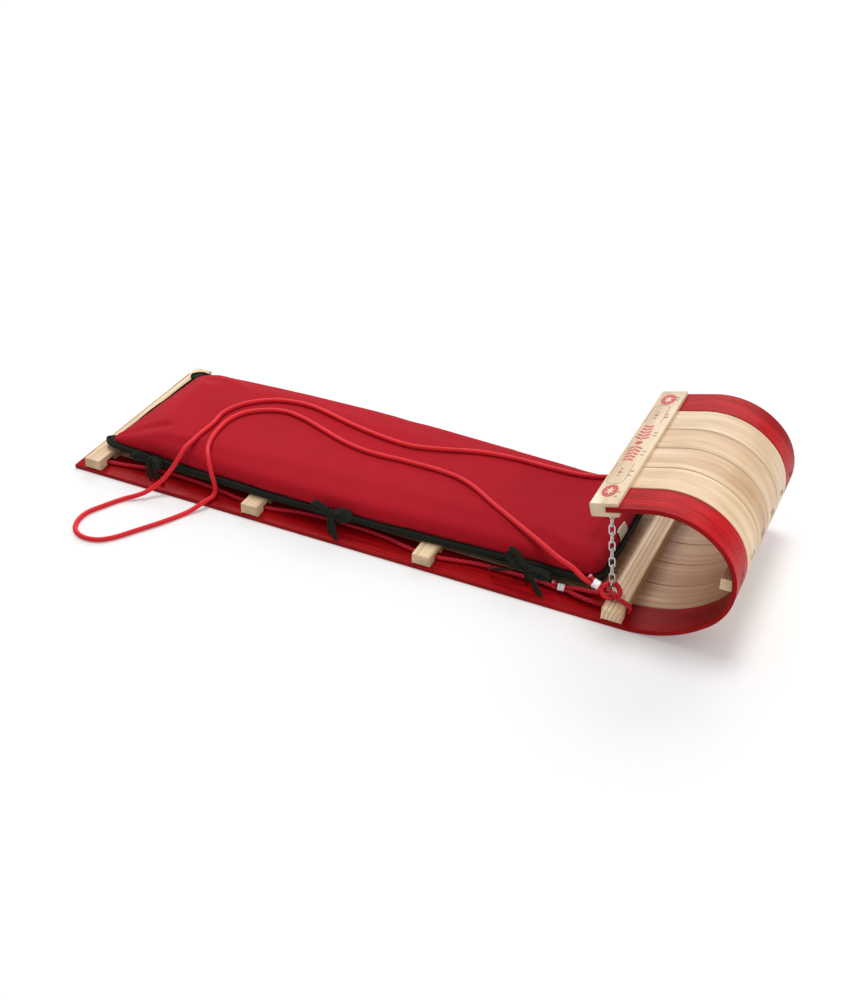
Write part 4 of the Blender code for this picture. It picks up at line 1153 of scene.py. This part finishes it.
GRAB_RUN = [
    (0.3, -0.15, 0.0152), (0.2659, -0.148, 0.0148), (0.18, -0.148, 0.0135), (0.128, -0.157, 0.0124),
    (0.1063, -0.1605, 0.0122), (0.0743, -0.1605, 0.0122), (0.05, -0.157, 0.0124), (0.0, -0.148, 0.0135),
    (-0.0854, -0.1455, 0.0148), (-0.16, -0.148, 0.0135), (-0.202, -0.157, 0.0124),
    (-0.2239, -0.1605, 0.0122), (-0.2559, -0.1605, 0.0122), (-0.28, -0.157, 0.0124),
    (-0.36, -0.148, 0.0135), (-0.464, -0.1475, 0.0148), (-0.52, -0.156, 0.0124),
    (-0.5541, -0.1605, 0.0122), (-0.584, -0.159, 0.0122), (-0.5912, -0.151, 0.0121),
    (-0.5925, -0.135, 0.012), (-0.592, -0.07, 0.012), (-0.5918, 0.0, 0.012),
]


def mirrored(points):
    return [Vector((p[0], -p[1], p[2])) for p in points]


def ferrule_frame(centre, forward, up):
    along = Vector(forward).normalized()
    between = Vector(up)
    between = (between - along * between.dot(along)).normalized()
    return Vector(centre), along, between


def eye_route(place, diameter, eye):
    centre, along, between = place
    apart = between * (diameter * SQUEEZE / 2 + GAP)
    end = along * (FERRULE_LONG / 2)
    clear = end * 1.7
    tip = centre - along * CUT_END + apart * 2
    return [tip, centre - end + apart, centre + end + apart, centre + clear + apart,
            *[Vector(p) for p in eye], centre + clear - apart, centre + end - apart, centre - end - apart]


def lay_on(points, tree, diameter):
    """Lets a rope lie on the cushion where it passes over it."""
    found = []
    for p in points:
        hit = tree.ray_cast(Vector((p.x, p.y, 0.2)), Vector((0, 0, -1)))[0]
        z = p.z
        if hit and p.z > 0.055:
            sunk = 0.0022 * eased(clamp((p.z - 0.0770) / 0.0022))
            z = max(hit.z + diameter / 2 - ROPE_PRESS, p.z - sunk)
        found.append(Vector((p.x, p.y, z)))
    for _ in range(30):
        before = [p.z for p in found]
        for i in range(1, len(found) - 1):
            if points[i].z > 0.045:
                found[i].z = (before[i - 1] + 2 * before[i] + before[i + 1]) / 4
    return found


def rope_mesh(name, points, diameter, places, sides, strands, pitch, relief, step):
    """A braid: two families of strands wound opposite ways, each passing over and under the other."""
    points = even_steps(points, step)
    bm = bmesh.new()
    rings, crease, tip = [], [], []
    last = len(points) - 1
    for i, (point, (_, first, second)) in enumerate(zip(points, carried_frames(points))):
        apart = min((point - centre).length for centre, _, _ in places) - FERRULE_LONG / 2
        swollen = min(SWELL_RUN, max(0.0, apart - 0.003)) / SWELL_RUN
        radius = diameter / 2 * (SQUEEZE + (1 - SQUEEZE) * swollen)
        end = min(i, last - i) * step
        if end <= 0.0015:
            radius *= 0.80 + 0.20 * (end / 0.0015) ** 0.5
        ring = []
        for k, (c, s) in enumerate(circle(sides)):
            turn = strands * k / sides
            a, b = turn + i * step / pitch, turn - i * step / pitch
            over = round(a) + round(b)
            ridge = 0.25 + 0.75 * abs(cos(pi * (a if over % 2 == 0 else b))) ** 0.55
            lift = relief * (ridge - 0.75) * (0.35 + 0.65 * swollen)
            ring.append(bm.verts.new(point + (first * c + second * s) * (radius + lift)))
            # crease carries the painted shade for the hollows between strands
            crease.append(1.0 - ridge)
            tip.append(1.0 if end < 0.0012 else (0.45 if end < 0.0030 else 0.0))
        rings.append(ring)
    bridge_rings(bm, rings)
    return finish_mesh(name, bm, {"crease": crease, "tip": tip})


def ferrule(name, place, diameter, material, node):
    """A sleeve pressed round two strands, with two crimp marks."""
    centre, along, between = place
    other = along.cross(between)
    apart = diameter * SQUEEZE / 2 + GAP
    hole = diameter * SQUEEZE / 2 + FERRULE_CLEAR - 0.0006
    outer = diameter * SQUEEZE / 2 + FERRULE_CLEAR + FERRULE_WALL
    half = FERRULE_LONG / 2
    profile = [(hole, -half + 0.0002), (outer - 0.0004, -half), (outer, -half + 0.0006)]
    for k in range(1, 22):
        t = -1 + 2 * k / 22
        dent = 0.00055 * sum(bell((t - c) / 0.13) for c in (-0.38, 0.38))
        profile.append((outer - dent, t * (half - 0.0007)))
    profile += [(outer, half - 0.0006), (outer - 0.0004, half), (hole, half - 0.0002)]
    bm = bmesh.new()
    rings = []
    for radius, shift in profile:
        middle = centre + along * shift
        rings.append([bm.verts.new(middle + between * ((apart if c > 0 else -apart) + radius * c)
                                   + other * (radius * s)) for c, s in circle(36, pi / 36)])
    bridge_rings(bm, rings, closed=True)
    return new_piece(name, finish_mesh(name, bm), material, [node], 40)


def make_rope(label, name, route, right, diameter, length, lay, material, tree, sleeve, **look):
    """A rope and the two ferrules that close its eyes."""
    places = {"right": right, "left": tuple(mirrored(right))}
    points = lay_on(smooth_route(route, 12), tree, diameter)
    mesh = rope_mesh(name, points, diameter, places.values(), **look)
    rope = new_piece(name, mesh, material, [f"{label}_rope"], 180)
    sleeves = [ferrule(f"{label}_sleeve_{side}", place, diameter, sleeve, f"{label}_rope_ferrule_{side}")
               for side, place in places.items()]
    even_steps(points, 0.006)


def make_ropes(tree, sleeve):
    # the second colour of each braid below is its painted crease shade
    look = braid("pull_rope_braid", (0.66, 0.018, 0.028), (0.34, 0.004, 0.009), (0.85, 0.62, 0.58),
                 0.55, 0.16)
    right = ferrule_frame(*PULL_FERRULE)
    eye = eye_route(right, PULL_ROPE, PULL_EYE)
    route = eye + PULL_RUN_RIGHT + PULL_BIGHT + PULL_RUN_LEFT + mirrored(eye)[::-1]
    make_rope("pull", "rope_for_pulling", route, right, PULL_ROPE, PULL_LENGTH, "loose", look, tree, sleeve,
              sides=24, strands=8, pitch=0.0046, relief=0.00028, step=0.0012)

    look = braid("grab_rope_braid", (0.56, 0.014, 0.030), (0.045, 0.0, 0.001), (0.70, 0.45, 0.42),
                 0.60, 0.15, (0.05, 0.55))
    right = ferrule_frame(*GRAB_FERRULE)
    half = eye_route(right, GRAB_ROPE, GRAB_EYE) + GRAB_RUN
    make_rope("grab", "rope_for_holding", half + mirrored(half[:-1])[::-1], right, GRAB_ROPE, GRAB_LENGTH,
              "taut", look, tree, sleeve, sides=20, strands=3, pitch=0.0112, relief=0.00110, step=0.0013)


# ---- studio ---------------------------------------------------------------------------------------
def light(name, kind, energy, facing, **settings):
    data = bpy.data.lights.new(name, kind)
    data.energy = energy
    for key, value in settings.items():
        setattr(data, key, value)
    made = put_in_scene(name, data)
    made.rotation_mode = "QUATERNION"
    made.rotation_quaternion = Vector(facing).to_track_quat("-Z", "Y")
    return made


def make_studio():
    bm = bmesh.new()
    bmesh.ops.create_grid(bm, x_segments=2, y_segments=2, size=25.0)
    mesh = finish_mesh("floor", bm)
    paint = Paint("floor_paper", Roughness=0.9, Specular_IOR_Level=0.1, Base_Color=(0.84, 0.84, 0.84),
                  Emission_Color=(1.0, 1.0, 1.0), Emission_Strength=0.22)
    mesh.materials.append(paint.material)
    floor = put_in_scene("floor", mesh)
    unlit = bpy.data.collections.new("unlit")
    unlit.objects.link(floor)
    unlit.collection_objects[0].light_linking.link_state = "EXCLUDE"

    world = bpy.data.worlds.new("studio")
    world.use_nodes = True
    sky = world.node_tree.nodes["Background"]
    sky.inputs[0].default_value = (1.0, 1.0, 1.0, 1.0)
    sky.inputs[1].default_value = 0.42
    bpy.context.scene.world = world
    light("key", "SUN", 1.22, (0.13, -0.12, -1.0), angle=radians(22))
    light("low", "SUN", 1.15, (0.10, -1.0, -0.58), angle=radians(50))
    for name, place, aim, size, power in (
            ("rear", (-1.4, 0.9, 1.7), (-0.2, 0.0, 0.0), 0.8, 24.0),
            ("fill", (0.5, -2.6, 2.0), (0.1, 0.0, 0.0), 1.6, 8.0),
            ("right", (2.1, -0.5, 1.1), (0.55, 0.0, 0.12), 0.9, 19.0)):
        made = light(name, "AREA", power, Vector(aim) - Vector(place), shape="DISK", size=size)
        made.location = place
        made.light_linking.receiver_collection = unlit
    view = bpy.context.scene.view_settings
    view.view_transform = "Standard"
    view.look = "None"


# ---- assembly ---------------------------------------------------------------------------------------
def main():
    make_camera()
    red = canvas("red_canvas", (0.375, 0.0055, 0.0145), (0.17, 0.002, 0.005))
    black = canvas("black_canvas", (0.016, 0.018, 0.013), (0.006, 0.007, 0.005), sheen=0.0)
    tape = tape_cloth("black_tape", (0.014, 0.016, 0.012), (0.005, 0.006, 0.004))
    cream = canvas("label_cloth", (0.62, 0.60, 0.48), (0.42, 0.40, 0.30), thread=0.0007, relief=0.00005)
    zinc = metal("zinc_plate", (0.74, 0.74, 0.75), 0.20, 0.20)
    sleeve = metal("pressed_aluminium", (0.82, 0.82, 0.83), 0.30, 0.22, 0.00005)
    steel = metal("staple_wire", (0.10, 0.09, 0.08), 0.50, 0.25)
    satin = {"relief": 0.00018, "roughness": (0.46, 0.62), "coat": 0.05}
    pale = wood("pale_hardwood", (0.50, 0.33, 0.18), (0.64, 0.46, 0.275), (0.74, 0.575, 0.375),
                pith=(0.004, -0.030), ring=0.0048, wander=1.6, line=0.40, streak=0.22, **satin)
    # a lighter copy of the bar wood for the front crossbar: painted light making up for the shade of the
    # headboard and curl
    front = wood("front_bar_painted_light_hardwood", (0.70, 0.46, 0.26), (0.86, 0.66, 0.44), (0.92, 0.75, 0.55),
                 pith=(0.050, -0.016), ring=0.0066, wander=1.3, line=0.80, streak=0.34, **satin)
    board = wood("headboard_hardwood", (0.52, 0.37, 0.225), (0.60, 0.44, 0.285), (0.65, 0.50, 0.335),
                 pith=(0.020, -0.060), ring=0.0060, wander=1.8, line=0.18, relief=0.00010,
                 roughness=(0.36, 0.48), coat=0.25, streak=0.12)

    cover = make_cushion(red, black, tape)
    tree = BVHTree.FromObject(cover, bpy.context.evaluated_depsgraph_get())
    make_ropes(tree, sleeve)
    make_slats()
    make_crossbars(pale, front)
    make_nose_crossbar(pale)
    make_headboard(board)
    make_staples(steel)
    make_print()
    make_chains(zinc)
    make_ties(tape)
    make_label(tree, cream)
    make_studio()


main()
